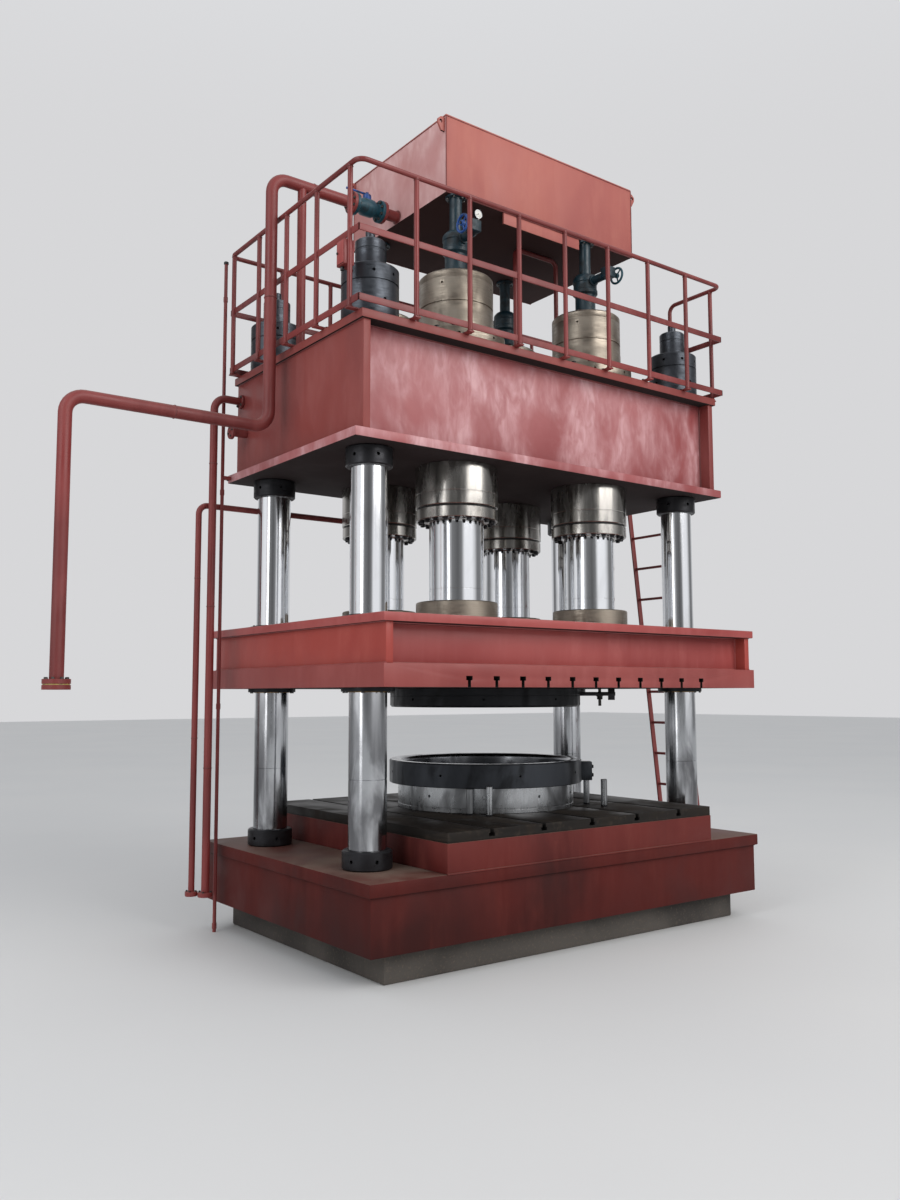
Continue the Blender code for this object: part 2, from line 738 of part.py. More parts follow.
def build_slide_plate():
    half_length, half_depth = SLIDE_LENGTH / 2, SLIDE_DEPTH / 2
    plate_top = slide_bottom + SLIDE_PLATE_THICKNESS
    plate = add_object("slide_slot_plate", box_mesh(
        "slide_slot_plate", (-half_length, -half_depth, slide_bottom),
        (half_length, half_depth, plate_top)))
    field = COLUMN_PITCH_X / 2 - BUSH_FLANGE_RADIUS - SLIDE_SLOT_EDGE
    outlines = [
        slot_outline(centre, slide_bottom, -1, SLIDE_SLOT_NECK_WIDTH, SLIDE_SLOT_NECK_DEPTH,
                     SLIDE_SLOT_HEAD_WIDTH, SLIDE_SLOT_HEAD_DEPTH)
        for centre in slot_centres(field, SLIDE_SLOT_PITCH)
    ]
    cut(plate,
        four_holes("slide_slot_plate", COLUMN_PITCH_X, COLUMN_PITCH_Y, BUSH_RADIUS + SEAT,
                   slide_bottom, plate_top, COLUMN_STEPS),
        plate_mesh("slide_slots", outlines, 0, SLIDE_DEPTH + OVERRUN))
    paint(plate, RED_PAINT)
    return plate


def build_bushes():
    flange_top = slide_bottom - SEAT
    flange_bottom = flange_top - BUSH_FLANGE_HEIGHT
    bore = COLUMN_RADIUS + RUNNING
    profile = [
        (BUSH_RADIUS, slide_top), (BUSH_RADIUS, flange_top), (BUSH_FLANGE_RADIUS, flange_top),
        (BUSH_FLANGE_RADIUS, flange_bottom), (bore, flange_bottom), (bore, slide_top),
    ]
    bushes = []
    for name, x, y, _, _ in four_places(COLUMN_PITCH_X, COLUMN_PITCH_Y):
        mesh = turned_mesh("guide_bush", profile, COLUMN_STEPS, ring=True)
        bush = add_object(f"guide_bush_{name}", mesh, (x, y, 0))
        paint(bush, BRONZE)
        bushes.append(bush)
    return bushes


def build_upper_die():
    top = slide_bottom - SEAT
    bottom = top - UPPER_DIE_HEIGHT
    profile = [
        (0, top), (UPPER_DIE_RADIUS, top), (UPPER_DIE_RADIUS, bottom + UPPER_DIE_CHAMFER),
        (UPPER_DIE_RADIUS - UPPER_DIE_CHAMFER, bottom), (0, bottom),
    ]
    die = add_object("upper_die", turned_mesh("upper_die", profile, DIE_STEPS))
    strap_top = slide_bottom - CLAMP_BELOW_SLIDE
    strap_bottom = strap_top - CLAMP_THICKNESS
    outer = UPPER_DIE_RADIUS + CLAMP_REACH
    strap = box_mesh("upper_die", (UPPER_DIE_RADIUS - CLAMP_WIDTH, -CLAMP_WIDTH / 2, strap_bottom),
                     (outer, CLAMP_WIDTH / 2, strap_top))
    heel = box_mesh("upper_die",
                    (outer - CLAMP_HEEL_LENGTH, -CLAMP_WIDTH / 2 + SUNK, strap_bottom - CLAMP_HEEL_DROP),
                    (outer - SUNK, CLAMP_WIDTH / 2 - SUNK, top))
    weld(die, moved(strap, (0, 0, 0), CLAMP_ANGLE), moved(heel, (0, 0, 0), CLAMP_ANGLE))
    paint(die, DARK_STEEL)
    return die


# Lower dies on the bed
def build_lower_rings():
    support = ring_mesh("support_ring", SUPPORT_RING_RADIUS, SUPPORT_RING_BORE,
                        ring_bottom, ring_top, DIE_STEPS)
    paint(add_object("support_ring", support), BRIGHT_STEEL)
    top = die_ring_bottom + DIE_RING_HEIGHT
    draw_centre = (DIE_RING_BORE + DIE_RING_DRAW_RADIUS, top - DIE_RING_DRAW_RADIUS)
    draw_edge = []
    for step in range(DRAW_STEPS + 1):
        angle = math.pi - math.pi / 2 * step / DRAW_STEPS
        draw_edge.append((draw_centre[0] + DIE_RING_DRAW_RADIUS * math.cos(angle),
                          draw_centre[1] + DIE_RING_DRAW_RADIUS * math.sin(angle)))
    profile = [
        (DIE_RING_RADIUS - DIE_RING_CHAMFER, top), (DIE_RING_RADIUS, top - DIE_RING_CHAMFER),
        (DIE_RING_RADIUS, die_ring_bottom), (DIE_RING_BORE, die_ring_bottom), *draw_edge,
    ]
    die_ring = add_object("die_ring", turned_mesh("die_ring", profile, DIE_STEPS, ring=True))
    lug = box_mesh("die_ring",
                   (DIE_RING_RADIUS - LUG_WIDTH / 2, -LUG_WIDTH / 2, die_ring_bottom + SUNK),
                   (DIE_RING_RADIUS + LUG_REACH, LUG_WIDTH / 2, die_ring_bottom + LUG_HEIGHT))
    weld(die_ring, moved(lug, (0, 0, 0), LUG_ANGLE))
    paint(die_ring, DARK_STEEL)


def build_posts():
    under_ring = SUPPORT_RING_RADIUS + POST_RING_GAP + POST_RADIUS
    beside_ring = DIE_RING_RADIUS + POST_OUTER_GAP + POST_RADIUS
    under_lug = DIE_RING_RADIUS + LUG_REACH / 2
    beside_lug = DIE_RING_RADIUS + LUG_REACH + POST_LUG_GAP + POST_RADIUS
    low = bed_top + SEAT
    ring_seat = die_ring_bottom - SEAT
    lug_seat = die_ring_bottom + SUNK - SEAT
    places = {
        "front_left_inner": (under_ring, ring_seat),
        "front_left_outer": (beside_ring, low + POST_HEIGHT),
        "front_right_inner": (under_lug, lug_seat),
        "front_right_outer": (beside_lug, low + POST_HEIGHT),
    }
    for name, (distance, high) in places.items():
        angle = POST_ANGLES[name]
        place = (distance * math.cos(angle), distance * math.sin(angle), 0)
        post = add_object(f"post_{name}", disc_mesh("post", POST_RADIUS, low, high, SMALL_STEPS),
                          place)
        paint(post, BRIGHT_STEEL)


# Oil tank, its stand and the prefill valves
def build_tank():
    tank = add_object("oil_tank", box_mesh(
        "oil_tank", (tank_left, tank_front, tank_bottom), (tank_right, tank_rear, tank_top)))
    skirt = box_mesh("oil_tank",
                     (TANK_SKIRT_LEFT, tank_front + SUNK, tank_bottom - TANK_SKIRT_HEIGHT),
                     (TANK_SKIRT_RIGHT, tank_front + SUNK + TANK_SKIRT_THICKNESS, tank_bottom + SUNK))
    lug_top = tank_top - TANK_LUG_BELOW_TOP
    lugs = []
    for y in (tank_front + TANK_LUG_THICKNESS, tank_rear - 2 * TANK_LUG_THICKNESS):
        for face, outward in ((tank_left, -1), (tank_right, 1)):
            ends = sorted((face - outward * SUNK, face + outward * TANK_LUG_REACH))
            lugs.append(box_mesh("oil_tank", (ends[0], y, lug_top - TANK_LUG_HEIGHT),
                                 (ends[1], y + TANK_LUG_THICKNESS, lug_top)))
    nozzle_end = tank_left - TANK_NOZZLE_LENGTH
    nozzle = tube_mesh("oil_tank", [(tank_left + SUNK, RETURN_Y, return_level),
                                    (nozzle_end + SUNK, RETURN_Y, return_level)],
                       RETURN_RADIUS, PIPE_SIDES)
    flange = moved(disc_mesh("oil_tank", RETURN_FLANGE_RADIUS, 0, RETURN_FLANGE_THICKNESS,
                             VALVE_STEPS),
                   (nozzle_end, RETURN_Y, return_level), math.radians(90), "Y")
    weld(tank, skirt, *lugs, nozzle, flange)
    paint(tank, RED_PRIMER)


def build_portal():
    beam = tank_bottom - SEAT - PORTAL_RADIUS
    foot = crown_top + SEAT
    path = bent_path([(PORTAL_LEFT, PORTAL_Y, foot), (PORTAL_LEFT, PORTAL_Y, beam),
                      (PORTAL_RIGHT, PORTAL_Y, beam), (PORTAL_RIGHT, PORTAL_Y, foot)], PORTAL_BEND)
    paint(add_object("tank_portal", tube_mesh("tank_portal", path, PORTAL_RADIUS, RAIL_SIDES)),
          RED_PAINT)


def build_prefill_valves():
    foot = head_top + SEAT
    top = tank_bottom - SEAT
    flange_bottom = top - PREFILL_FLANGE_THICKNESS
    neck_top = foot + PREFILL_NECK_HEIGHT
    body_top = neck_top + PREFILL_BODY_HEIGHT
    shoulder = body_top + PREFILL_SHOULDER_HEIGHT
    profile = [
        (0, top), (PREFILL_FLANGE_RADIUS, top), (PREFILL_FLANGE_RADIUS, flange_bottom),
        (PREFILL_PIPE_RADIUS, flange_bottom), (PREFILL_PIPE_RADIUS, shoulder),
        (PREFILL_BODY_RADIUS, body_top), (PREFILL_BODY_RADIUS, neck_top),
        (PREFILL_NECK_RADIUS, neck_top), (PREFILL_NECK_RADIUS, foot), (0, foot),
    ]
    level = foot + GEARBOX_HEIGHT
    for name, x, y, side, face in four_places(CYLINDER_PITCH_X, CYLINDER_PITCH_Y):
        valve = add_object(f"prefill_valve_{name}",
                           moved(turned_mesh("prefill_valve", profile, VALVE_STEPS), (x, y, 0)))
        box_x = x + side * GEARBOX_OFFSET_X
        box_y = y + face * GEARBOX_OFFSET_Y
        half = GEARBOX_SIZE / 2
        arm = tube_mesh("prefill_valve", [(x, y, level - half / 2), (x, box_y, level - half / 2)],
                        GEARBOX_ARM_RADIUS, RAIL_SIDES)
        gearbox = box_mesh("prefill_valve", (box_x - half, box_y - half, level - half),
                           (box_x + half, box_y + half, level + half))
        hub_outer = WHEEL_OFFSET_X + WHEEL_HUB_LENGTH / 2 + SPINDLE_PAST_HUB
        ends = sorted((0, side * (hub_outer - GEARBOX_OFFSET_X)))
        spindle = moved(disc_mesh("prefill_valve", SPINDLE_RADIUS, *ends, WHEEL_HUB_STEPS),
                        (box_x, box_y, level), math.radians(90), "Y")
        weld(valve, arm, gearbox, spindle)
        if name == "front_left":
            weld(valve, *gauge_meshes(x, y, foot))
        paint(valve, TEAL_PAINT)
        wheel_place = (x + side * WHEEL_OFFSET_X, box_y, level)
        build_handwheel(f"handwheel_{name}", wheel_place)


def gauge_meshes(x, y, foot):
    """A stem out of the valve's upper pipe, bent up to a round gauge that looks forward."""
    gauge_x = x + GAUGE_OFFSET_X
    stem_level = foot + GAUGE_STEM_HEIGHT
    gauge_level = foot + GAUGE_HEIGHT
    path = bent_path([(x, y, stem_level), (gauge_x, y, stem_level), (gauge_x, y, gauge_level)],
                     GAUGE_STEM_RADIUS * 2)
    stem = tube_mesh("gauge", path, GAUGE_STEM_RADIUS, RAIL_SIDES)
    case = moved(disc_mesh("gauge", GAUGE_RADIUS, -GAUGE_THICKNESS / 2, GAUGE_THICKNESS / 2,
                           SMALL_STEPS),
                 (gauge_x, y, gauge_level), math.radians(90), "X")
    return [stem, case]


def build_handwheel(name, place):
    """A spoked wheel that turns about X on its spindle, with its origin on that axis."""
    rim_path = WHEEL_RADIUS - WHEEL_RIM_RADIUS
    bpy.ops.mesh.primitive_torus_add(
        major_radius=rim_path, minor_radius=WHEEL_RIM_RADIUS,
        major_segments=WHEEL_RIM_STEPS, minor_segments=WHEEL_RIM_SIDES)
    blank = bpy.context.object
    rim = blank.data
    bpy.data.objects.remove(blank)
    half = WHEEL_HUB_LENGTH / 2
    bore = SPINDLE_RADIUS / math.cos(math.pi / WHEEL_HUB_STEPS) + RUNNING
    wheel = add_object(name, ring_mesh("handwheel", WHEEL_HUB_RADIUS, bore, -half, half,
                                       WHEEL_HUB_STEPS))
    inner = (bore + WHEEL_HUB_RADIUS) / 2
    first_turn = math.pi / WHEEL_HUB_STEPS
    spokes = [
        moved(tube_mesh("handwheel", [(inner, 0, 0), (rim_path, 0, 0)], WHEEL_SPOKE_RADIUS, 4),
              (0, 0, 0), first_turn + math.tau * index / WHEEL_SPOKES)
        for index in range(WHEEL_SPOKES)
    ]
    weld(wheel, *spokes, rim)
    for modifier in wheel.modifiers:
        modifier.object.parent = wheel
    wheel.rotation_euler = (0, math.radians(90), 0)
    wheel.location = place
    paint(wheel, BLUE_PAINT)


# Railing and ladder
def build_railing():
    side_x = RAILING_LENGTH / 2
    deck = crown_top + SEAT
    foot = deck + RAILING_FOOT_THICKNESS - SUNK
    top = crown_top + RAILING_TOP
    rail = bent_path([
        (side_x, RAILING_RIGHT_END, foot), (side_x, RAILING_RIGHT_END, top),
        (side_x, RAILING_FRONT, top), (-side_x, RAILING_FRONT, top),
        (-side_x, RAILING_REAR, top), (side_x, RAILING_REAR, top), (side_x, RAILING_REAR, foot),
    ], RAILING_BEND)
    railing = add_object("railing", tube_mesh("railing", rail, RAILING_RADIUS, RAIL_SIDES))
    middle_post = (RAILING_POST_COUNT - 1) / 2
    along = [(index - middle_post) * RAILING_POST_PITCH for index in range(RAILING_POST_COUNT)]
    middle_side = (RAILING_SIDE_COUNT - 1) / 2
    sideways = [RAILING_SIDE_CENTRE + (index - middle_side) * RAILING_SIDE_PITCH
                for index in range(RAILING_SIDE_COUNT)]
    posts = [(x, RAILING_FRONT, 0, 1) for x in along]
    posts += [(x, RAILING_REAR, 0, -1) for x in along]
    posts += [(-side_x, y, 1, 0) for y in sideways]
    posts += [(side_x, sideways[0], -1, 0)]
    ends = [(side_x, RAILING_RIGHT_END, -1, 0), (side_x, RAILING_REAR, -1, 0)]
    uprights = [
        tube_mesh("railing", [(x, y, foot), (x, y, top)], RAILING_RADIUS, RAIL_SIDES)
        for x, y, _, _ in posts
    ]
    weld_bars(railing, *uprights, *railing_feet(posts + ends, deck), *railing_bars(side_x))
    low_x = -side_x - JUNCTION_BOX_SIZE[0] / 2
    low_y = sideways[0] + JUNCTION_BOX_OFFSET
    low_z = crown_top + JUNCTION_BOX_HEIGHT
    weld_bars(railing, box_mesh(
        "railing", (low_x, low_y, low_z),
        (low_x + JUNCTION_BOX_SIZE[0], low_y + JUNCTION_BOX_SIZE[1],
         low_z + JUNCTION_BOX_SIZE[2])))
    paint(railing, RED_PAINT)


def railing_feet(posts, deck):
    """A flat bar under each post, from the post onto the deck plate."""
    feet = []
    half = RAILING_FOOT_WIDTH / 2
    for x, y, inward_x, inward_y in posts:
        if inward_x:
            inner = -inward_x * (CROWN_TOP_LENGTH / 2 - RAILING_FOOT_REST)
            ends = sorted((x - inward_x * half, inner))
            low, high = (ends[0], y - half), (ends[1], y + half)
        else:
            inner = -inward_y * (CROWN_DEPTH / 2 - RAILING_FOOT_REST)
            ends = sorted((y - inward_y * half, inner))
            low, high = (x - half, ends[0]), (x + half, ends[1])
        feet.append(box_mesh("railing", (*low, deck), (*high, deck + RAILING_FOOT_THICKNESS)))
    return feet


def railing_bars(side_x):
    """Flat bars inside the posts, at two levels, from end post to end post."""
    thick = RAILING_BAR_THICKNESS
    runs = [
        ((-side_x, RAILING_FRONT), (side_x, RAILING_FRONT), 0, 1),
        ((-side_x, RAILING_REAR), (side_x, RAILING_REAR), 0, -1),
        ((-side_x, RAILING_FRONT), (-side_x, RAILING_REAR), 1, 0),
        ((side_x, RAILING_FRONT), (side_x, RAILING_RIGHT_END), -1, 0),
    ]
    bars = []
    for height in (RAILING_MIDDLE, RAILING_BOTTOM):
        level = crown_top + height
        half = RAILING_BAR_WIDTH / 2
        for (x0, y0), (x1, y1), inward_x, inward_y in runs:
            xs = sorted((x0, x1 + inward_x * thick)) if inward_x else (x0, x1)
            ys = sorted((y0, y1 + inward_y * thick)) if inward_y else (y0, y1)
            bars.append(box_mesh("railing", (xs[0], ys[0], level - half),
                                 (xs[1], ys[1], level + half)))
    return bars


def build_ladder():
    lean = (LADDER_FOOT_X - LADDER_TOP_X) / crown_top
    half = LADDER_STILE_WIDTH / 2
    outline = [
        (LADDER_FOOT_X - half, 0), (LADDER_FOOT_X + half, 0),
        (LADDER_TOP_X + half, crown_top), (LADDER_TOP_X - half, crown_top),
    ]
    stiles = [
        plate_mesh("ladder", [outline], side * LADDER_PITCH_Y / 2, LADDER_STILE_THICKNESS)
        for side in (-1, 1)
    ]
    ladder = add_object("ladder", stiles[0])
    count = int((crown_top - LADDER_FIRST_RUNG) / LADDER_RUNG_PITCH)
    rungs = []
    for index in range(count + 1):
        level = LADDER_FIRST_RUNG + index * LADDER_RUNG_PITCH
        x = LADDER_FOOT_X - lean * level
        rungs.append(tube_mesh("ladder", [(x, -LADDER_PITCH_Y / 2, level),
                                          (x, LADDER_PITCH_Y / 2, level)],
                               LADDER_RUNG_RADIUS, RAIL_SIDES))
    hook_low = crown_top - LADDER_HOOK_HEIGHT
    hooks = []
    for side in (-1, 1):
        y = side * LADDER_PITCH_Y / 2
        hooks.append(box_mesh("ladder",
                              (CROWN_TOP_LENGTH / 2 + SEAT, y - LADDER_STILE_THICKNESS, hook_low),
                              (LADDER_TOP_X, y + LADDER_STILE_THICKNESS, crown_top - SUNK)))
    weld_bars(ladder, stiles[1], *rungs, *hooks)
    paint(ladder, RED_PAINT)


# Pipework on the left side
def build_return_pipe():
    side_x = -(RAILING_LENGTH / 2 + RAILING_RADIUS + RETURN_RAILING_GAP + RETURN_RADIUS)
    tank_flange = tank_left - TANK_NOZZLE_LENGTH
    valve_right = tank_flange - SEAT
    valve_left = valve_right - VALVE_LENGTH
    start = valve_left - SEAT
    run_level = crown_bottom + RETURN_RUN_HEIGHT
    path = bent_path([
        (start - SUNK, RETURN_Y, return_level), (side_x, RETURN_Y, return_level),
        (side_x, RETURN_Y, run_level), (RETURN_OUTER_X, RETURN_Y, run_level),
        (RETURN_OUTER_X, RETURN_Y, RETURN_END_HEIGHT + SUNK),
    ], RETURN_BEND)
    pipe = add_object("return_pipe", tube_mesh("return_pipe", path, RETURN_RADIUS, PIPE_SIDES))
    start_flange = moved(disc_mesh("return_pipe", RETURN_FLANGE_RADIUS, 0,
                                   RETURN_FLANGE_THICKNESS, VALVE_STEPS),
                         (start - RETURN_FLANGE_THICKNESS, RETURN_Y, return_level),
                         math.radians(90), "Y")
    end_flange = moved(disc_mesh("return_pipe", RETURN_FLANGE_RADIUS, 0,
                                 RETURN_END_FLANGE_THICKNESS, VALVE_STEPS),
                       (RETURN_OUTER_X, RETURN_Y, RETURN_END_HEIGHT))
    deck = crown_top + SEAT
    stand = tube_mesh("return_pipe", [(STAND_PIPE_X, RETURN_Y, deck + SUNK),
                                      (STAND_PIPE_X, RETURN_Y, return_level)],
                      STAND_PIPE_RADIUS, PIPE_SIDES)
    foot = moved(disc_mesh("return_pipe", STAND_PIPE_FOOT_RADIUS, deck,
                           deck + STAND_PIPE_FOOT_THICKNESS, SMALL_STEPS),
                 (STAND_PIPE_X, RETURN_Y, 0))
    weld_bars(pipe, start_flange, end_flange, stand, foot)
    paint(pipe, RED_PAINT)
    build_shutoff_valve(valve_left)


def build_shutoff_valve(left):
    """A flanged valve along X with its bonnet and lever up."""
    plate = RETURN_FLANGE_THICKNESS
    profile = [
        (0, VALVE_LENGTH), (RETURN_FLANGE_RADIUS, VALVE_LENGTH),
        (RETURN_FLANGE_RADIUS, VALVE_LENGTH - plate), (VALVE_NECK_RADIUS, VALVE_LENGTH - plate),
        (VALVE_BODY_RADIUS, VALVE_LENGTH * 2 / 3), (VALVE_BODY_RADIUS, VALVE_LENGTH / 3),
        (VALVE_NECK_RADIUS, plate), (RETURN_FLANGE_RADIUS, plate), (RETURN_FLANGE_RADIUS, 0), (0, 0),
    ]
    body = moved(turned_mesh("shutoff_valve", profile, VALVE_STEPS),
                 (left, RETURN_Y, return_level), math.radians(90), "Y")
    valve = add_object("shutoff_valve", body)
    middle = left + VALVE_LENGTH / 2
    bonnet_top = return_level + VALVE_BONNET_HEIGHT
    bonnet = moved(disc_mesh("shutoff_valve", VALVE_BONNET_RADIUS, return_level, bonnet_top,
                             SMALL_STEPS), (middle, RETURN_Y, 0))
    lever_level = bonnet_top - VALVE_LEVER_RADIUS - SUNK
    lever = tube_mesh("shutoff_valve", [(middle, RETURN_Y, lever_level),
                                        (middle - VALVE_LEVER_LENGTH, RETURN_Y, lever_level)],
                      VALVE_LEVER_RADIUS, RAIL_SIDES)
    weld(valve, bonnet, lever)
    paint(valve, BLUE_PAINT)


def build_feed_pipe():
    level = crown_bottom + FEED_HEIGHT
    face = -CROWN_SIDE_LENGTH / 2 - SEAT
    path = bent_path([(face - SUNK, FEED_Y, level), (FEED_X, FEED_Y, level),
                      (FEED_X, FEED_Y, FEED_END_HEIGHT + SUNK)], FEED_BEND)
    pipe = add_object("feed_pipe", tube_mesh("feed_pipe", path, FEED_RADIUS, PIPE_SIDES))
    end_flange = moved(disc_mesh("feed_pipe", FEED_FLANGE_RADIUS, 0, FEED_FLANGE_THICKNESS,
                                 SMALL_STEPS), (FEED_X, FEED_Y, FEED_END_HEIGHT))
    wall_flange = moved(disc_mesh("feed_pipe", FEED_FLANGE_RADIUS, 0, STUB_FLANGE_THICKNESS,
                                  SMALL_STEPS),
                        (face - STUB_FLANGE_THICKNESS, FEED_Y, level), math.radians(90), "Y")
    weld(pipe, end_flange, wall_flange)
    paint(pipe, RED_PAINT)


def build_lift_pipe():
    level = crown_bottom - LIFT_BELOW_CROWN
    port_x = -CYLINDER_PITCH_X / 2
    port_y = CYLINDER_PITCH_Y / 2 + CYLINDER_RADIUS + SEAT
    path = bent_path([(LIFT_X, LIFT_Y, FEED_END_HEIGHT + SUNK), (LIFT_X, LIFT_Y, level),
                      (port_x, LIFT_Y, level), (port_x, port_y, level)], LIFT_BEND)
    pipe = add_object("lift_pipe", tube_mesh("lift_pipe", path, LIFT_RADIUS, RAIL_SIDES))
    end_flange = moved(disc_mesh("lift_pipe", LIFT_FLANGE_RADIUS, 0, FEED_FLANGE_THICKNESS,
                                 SMALL_STEPS), (LIFT_X, LIFT_Y, FEED_END_HEIGHT))
    weld(pipe, end_flange)
    paint(pipe, RED_PAINT)


def build_conduit():
    conduit = add_object("conduit", tube_mesh(
        "conduit", [(CONDUIT_X, CONDUIT_Y, 0), (CONDUIT_X, CONDUIT_Y, crown_top + CONDUIT_TOP)],
        CONDUIT_RADIUS, RAIL_SIDES))
    clip_low = crown_bottom + CROWN_BOTTOM_PLATE / 2 - CONDUIT_CLIP_HEIGHT / 2
    clip = box_mesh("conduit",
                    (CONDUIT_X, CONDUIT_Y - CONDUIT_CLIP_WIDTH / 2, clip_low),
                    (-CROWN_BOTTOM_LENGTH / 2 - SEAT, CONDUIT_Y + CONDUIT_CLIP_WIDTH / 2,
                     clip_low + CONDUIT_CLIP_HEIGHT))
    weld(conduit, clip)
    paint(conduit, RED_PAINT)


def shade_parts():
    """Sets each part's own mesh from its modifiers, smooth but for its sharp edges."""
    bpy.context.view_layer.update()
    for piece in parts.objects:
        if piece.modifiers:
            mesh = evaluated_mesh(piece)
            material = piece.data.materials[0]
            piece.modifiers.clear()
            piece.data = mesh
            piece.data.materials.clear()
            piece.data.materials.append(material)
        piece.data.shade_smooth()
        piece.data.set_sharp_from_angle(angle=SHARP_ANGLE)


def group_slide(pieces):
    """Parents what travels to one empty on the press's axis, under the slide."""
    travel = bpy.data.objects.new("slide_travel", None)
    travel.location = (0, 0, slide_bottom)
    bpy.context.scene.collection.objects.link(travel)
    bpy.context.view_layer.update()
    for piece in pieces:
        piece.parent = travel
        piece.matrix_parent_inverse = travel.matrix_world.inverted()


clear_scene()
parts = new_collection("hydraulic_press")
tools = new_collection("cutters")
build_foundation()
build_base()
build_bed()
build_columns()
build_crown()
build_cylinders()
moving = build_rams()
moving += [build_slide(), build_slide_plate(), *build_bushes(), build_upper_die()]
build_lower_rings()
build_posts()
build_tank()
build_portal()
build_prefill_valves()
build_railing()
build_ladder()
build_return_pipe()
build_feed_pipe()
build_lift_pipe()
build_conduit()
shade_parts()
group_slide(moving)
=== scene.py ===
"""Looks of the four-column hydraulic press: finishes, fittings, floor, light and camera.

Metres, +Z up. Every piece is made where the frame holds the node that it stands for, and
its levels and places are read from that node.
"""
import math
import random

import bmesh
import bpy
from mathutils import Matrix, Vector


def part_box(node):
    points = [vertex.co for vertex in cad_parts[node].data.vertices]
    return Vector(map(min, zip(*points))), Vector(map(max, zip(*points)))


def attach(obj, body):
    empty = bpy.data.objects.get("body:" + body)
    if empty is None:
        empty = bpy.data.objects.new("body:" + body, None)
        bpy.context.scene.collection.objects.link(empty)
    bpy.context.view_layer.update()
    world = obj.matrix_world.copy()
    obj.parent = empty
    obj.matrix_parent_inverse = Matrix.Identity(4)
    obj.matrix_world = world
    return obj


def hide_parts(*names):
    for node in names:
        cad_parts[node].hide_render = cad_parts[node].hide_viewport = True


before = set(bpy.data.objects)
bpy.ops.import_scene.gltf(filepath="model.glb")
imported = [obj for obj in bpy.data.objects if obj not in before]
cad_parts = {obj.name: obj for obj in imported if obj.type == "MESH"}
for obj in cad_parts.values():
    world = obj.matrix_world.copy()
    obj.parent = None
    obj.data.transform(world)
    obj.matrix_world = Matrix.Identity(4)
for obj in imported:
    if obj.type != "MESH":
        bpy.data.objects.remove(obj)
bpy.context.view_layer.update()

CROWN_LOW, CROWN_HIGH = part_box("crown")
CORNERS = {"front_left": (-1, -1), "front_right": (1, -1), "rear_left": (-1, 1), "rear_right": (1, 1)}
UP = Vector((0, 0, 1))
DOWN = Vector((0, 0, -1))
LEFT = Vector((-1, 0, 0))
RIGHT = Vector((1, 0, 0))
FRONT = Vector((0, -1, 0))
REAR = Vector((0, 1, 0))
SHARP_ANGLE = math.radians(35)
ROUND = 64
CYLINDER_STEPS = 80
DIE_STEPS = 128
SMOOTH_PIPE = 24
SMOOTH_RAIL = 14
BEND_STEPS = 8
BEAD_STEP = 0.045
SUNK = 0.002
SEAT_GAP = 0.0003
DECK = CROWN_HIGH.z + SEAT_GAP
TANK_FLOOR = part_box("oil_tank")[1].z - 0.553
NOZZLE_Y = 0.10
NOZZLE_LEVEL = TANK_FLOOR + 0.044
RETURN_BOLTS = (8, 0.061, 0.0095, 0.2)
ROOM_TOP = (0.9, 0.92, 0.95, 1)
ROOM_TONES = [(0.0, 1.1), (0.045, 1.0), (0.095, 0.24), (0.161, 0.14), (0.205, 0.25), (0.24, 1.1),
              (0.335, 1.1), (0.37, 0.8), (0.41, 0.24), (0.46, 0.24), (0.53, 0.8), (0.77, 0.8),
              (0.83, 0.2), (0.87, 0.24), (0.92, 0.8), (0.97, 1.1), (1.0, 1.1)]

random.seed(7)


# Materials
def srgb(red, green, blue):
    """A linear colour from screen values of 0 to 255."""
    def linear(value):
        value /= 255
        return value / 12.92 if value <= 0.04045 else ((value + 0.055) / 1.055) ** 2.4
    return (linear(red), linear(green), linear(blue), 1)


class Nodes:
    """A node tree, with short calls for the nodes that patterns are made of."""

    def __init__(self, tree, coordinates):
        self.tree = tree
        self.where = tree.nodes.new("ShaderNodeTexCoord").outputs[coordinates]

    def set(self, socket, value):
        if isinstance(value, bpy.types.NodeSocket):
            self.tree.links.new(value, socket)
        else:
            socket.default_value = value

    def split(self, vector):
        node = self.tree.nodes.new("ShaderNodeSeparateXYZ")
        self.set(node.inputs["Vector"], vector)
        return node.outputs

    def noise(self, scale, stretch=(1, 1, 1), detail=4, distortion=0.0, shift=(0, 0, 0)):
        """Noise of about scale features per metre, squeezed along each axis by stretch."""
        mapping = self.tree.nodes.new("ShaderNodeMapping")
        mapping.inputs["Scale"].default_value = stretch
        mapping.inputs["Location"].default_value = shift
        self.set(mapping.inputs["Vector"], self.where)
        noise = self.tree.nodes.new("ShaderNodeTexNoise")
        noise.inputs["Scale"].default_value = scale
        noise.inputs["Detail"].default_value = detail
        noise.inputs["Distortion"].default_value = distortion
        self.set(noise.inputs["Vector"], mapping.outputs["Vector"])
        return noise.outputs["Fac"]

    def remap(self, value, low, high, to_low=0.0, to_high=1.0, even=False):
        node = self.tree.nodes.new("ShaderNodeMapRange")
        node.interpolation_type = "LINEAR" if even else "SMOOTHSTEP"
        for name, number in (("From Min", low), ("From Max", high),
                             ("To Min", to_low), ("To Max", to_high)):
            node.inputs[name].default_value = number
        self.set(node.inputs["Value"], value)
        return node.outputs["Result"]

    def maths(self, operation, first, second):
        node = self.tree.nodes.new("ShaderNodeMath")
        node.operation = operation
        self.set(node.inputs[0], first)
        self.set(node.inputs[1], second)
        return node.outputs["Value"]

    def times(self, first, second):
        return self.maths("MULTIPLY", first, second)

    def blend(self, factor, first, second):
        node = self.tree.nodes.new("ShaderNodeMix")
        node.data_type = "RGBA"
        for index, value in ((0, factor), (6, first), (7, second)):
            self.set(node.inputs[index], value)
        return node.outputs[2]


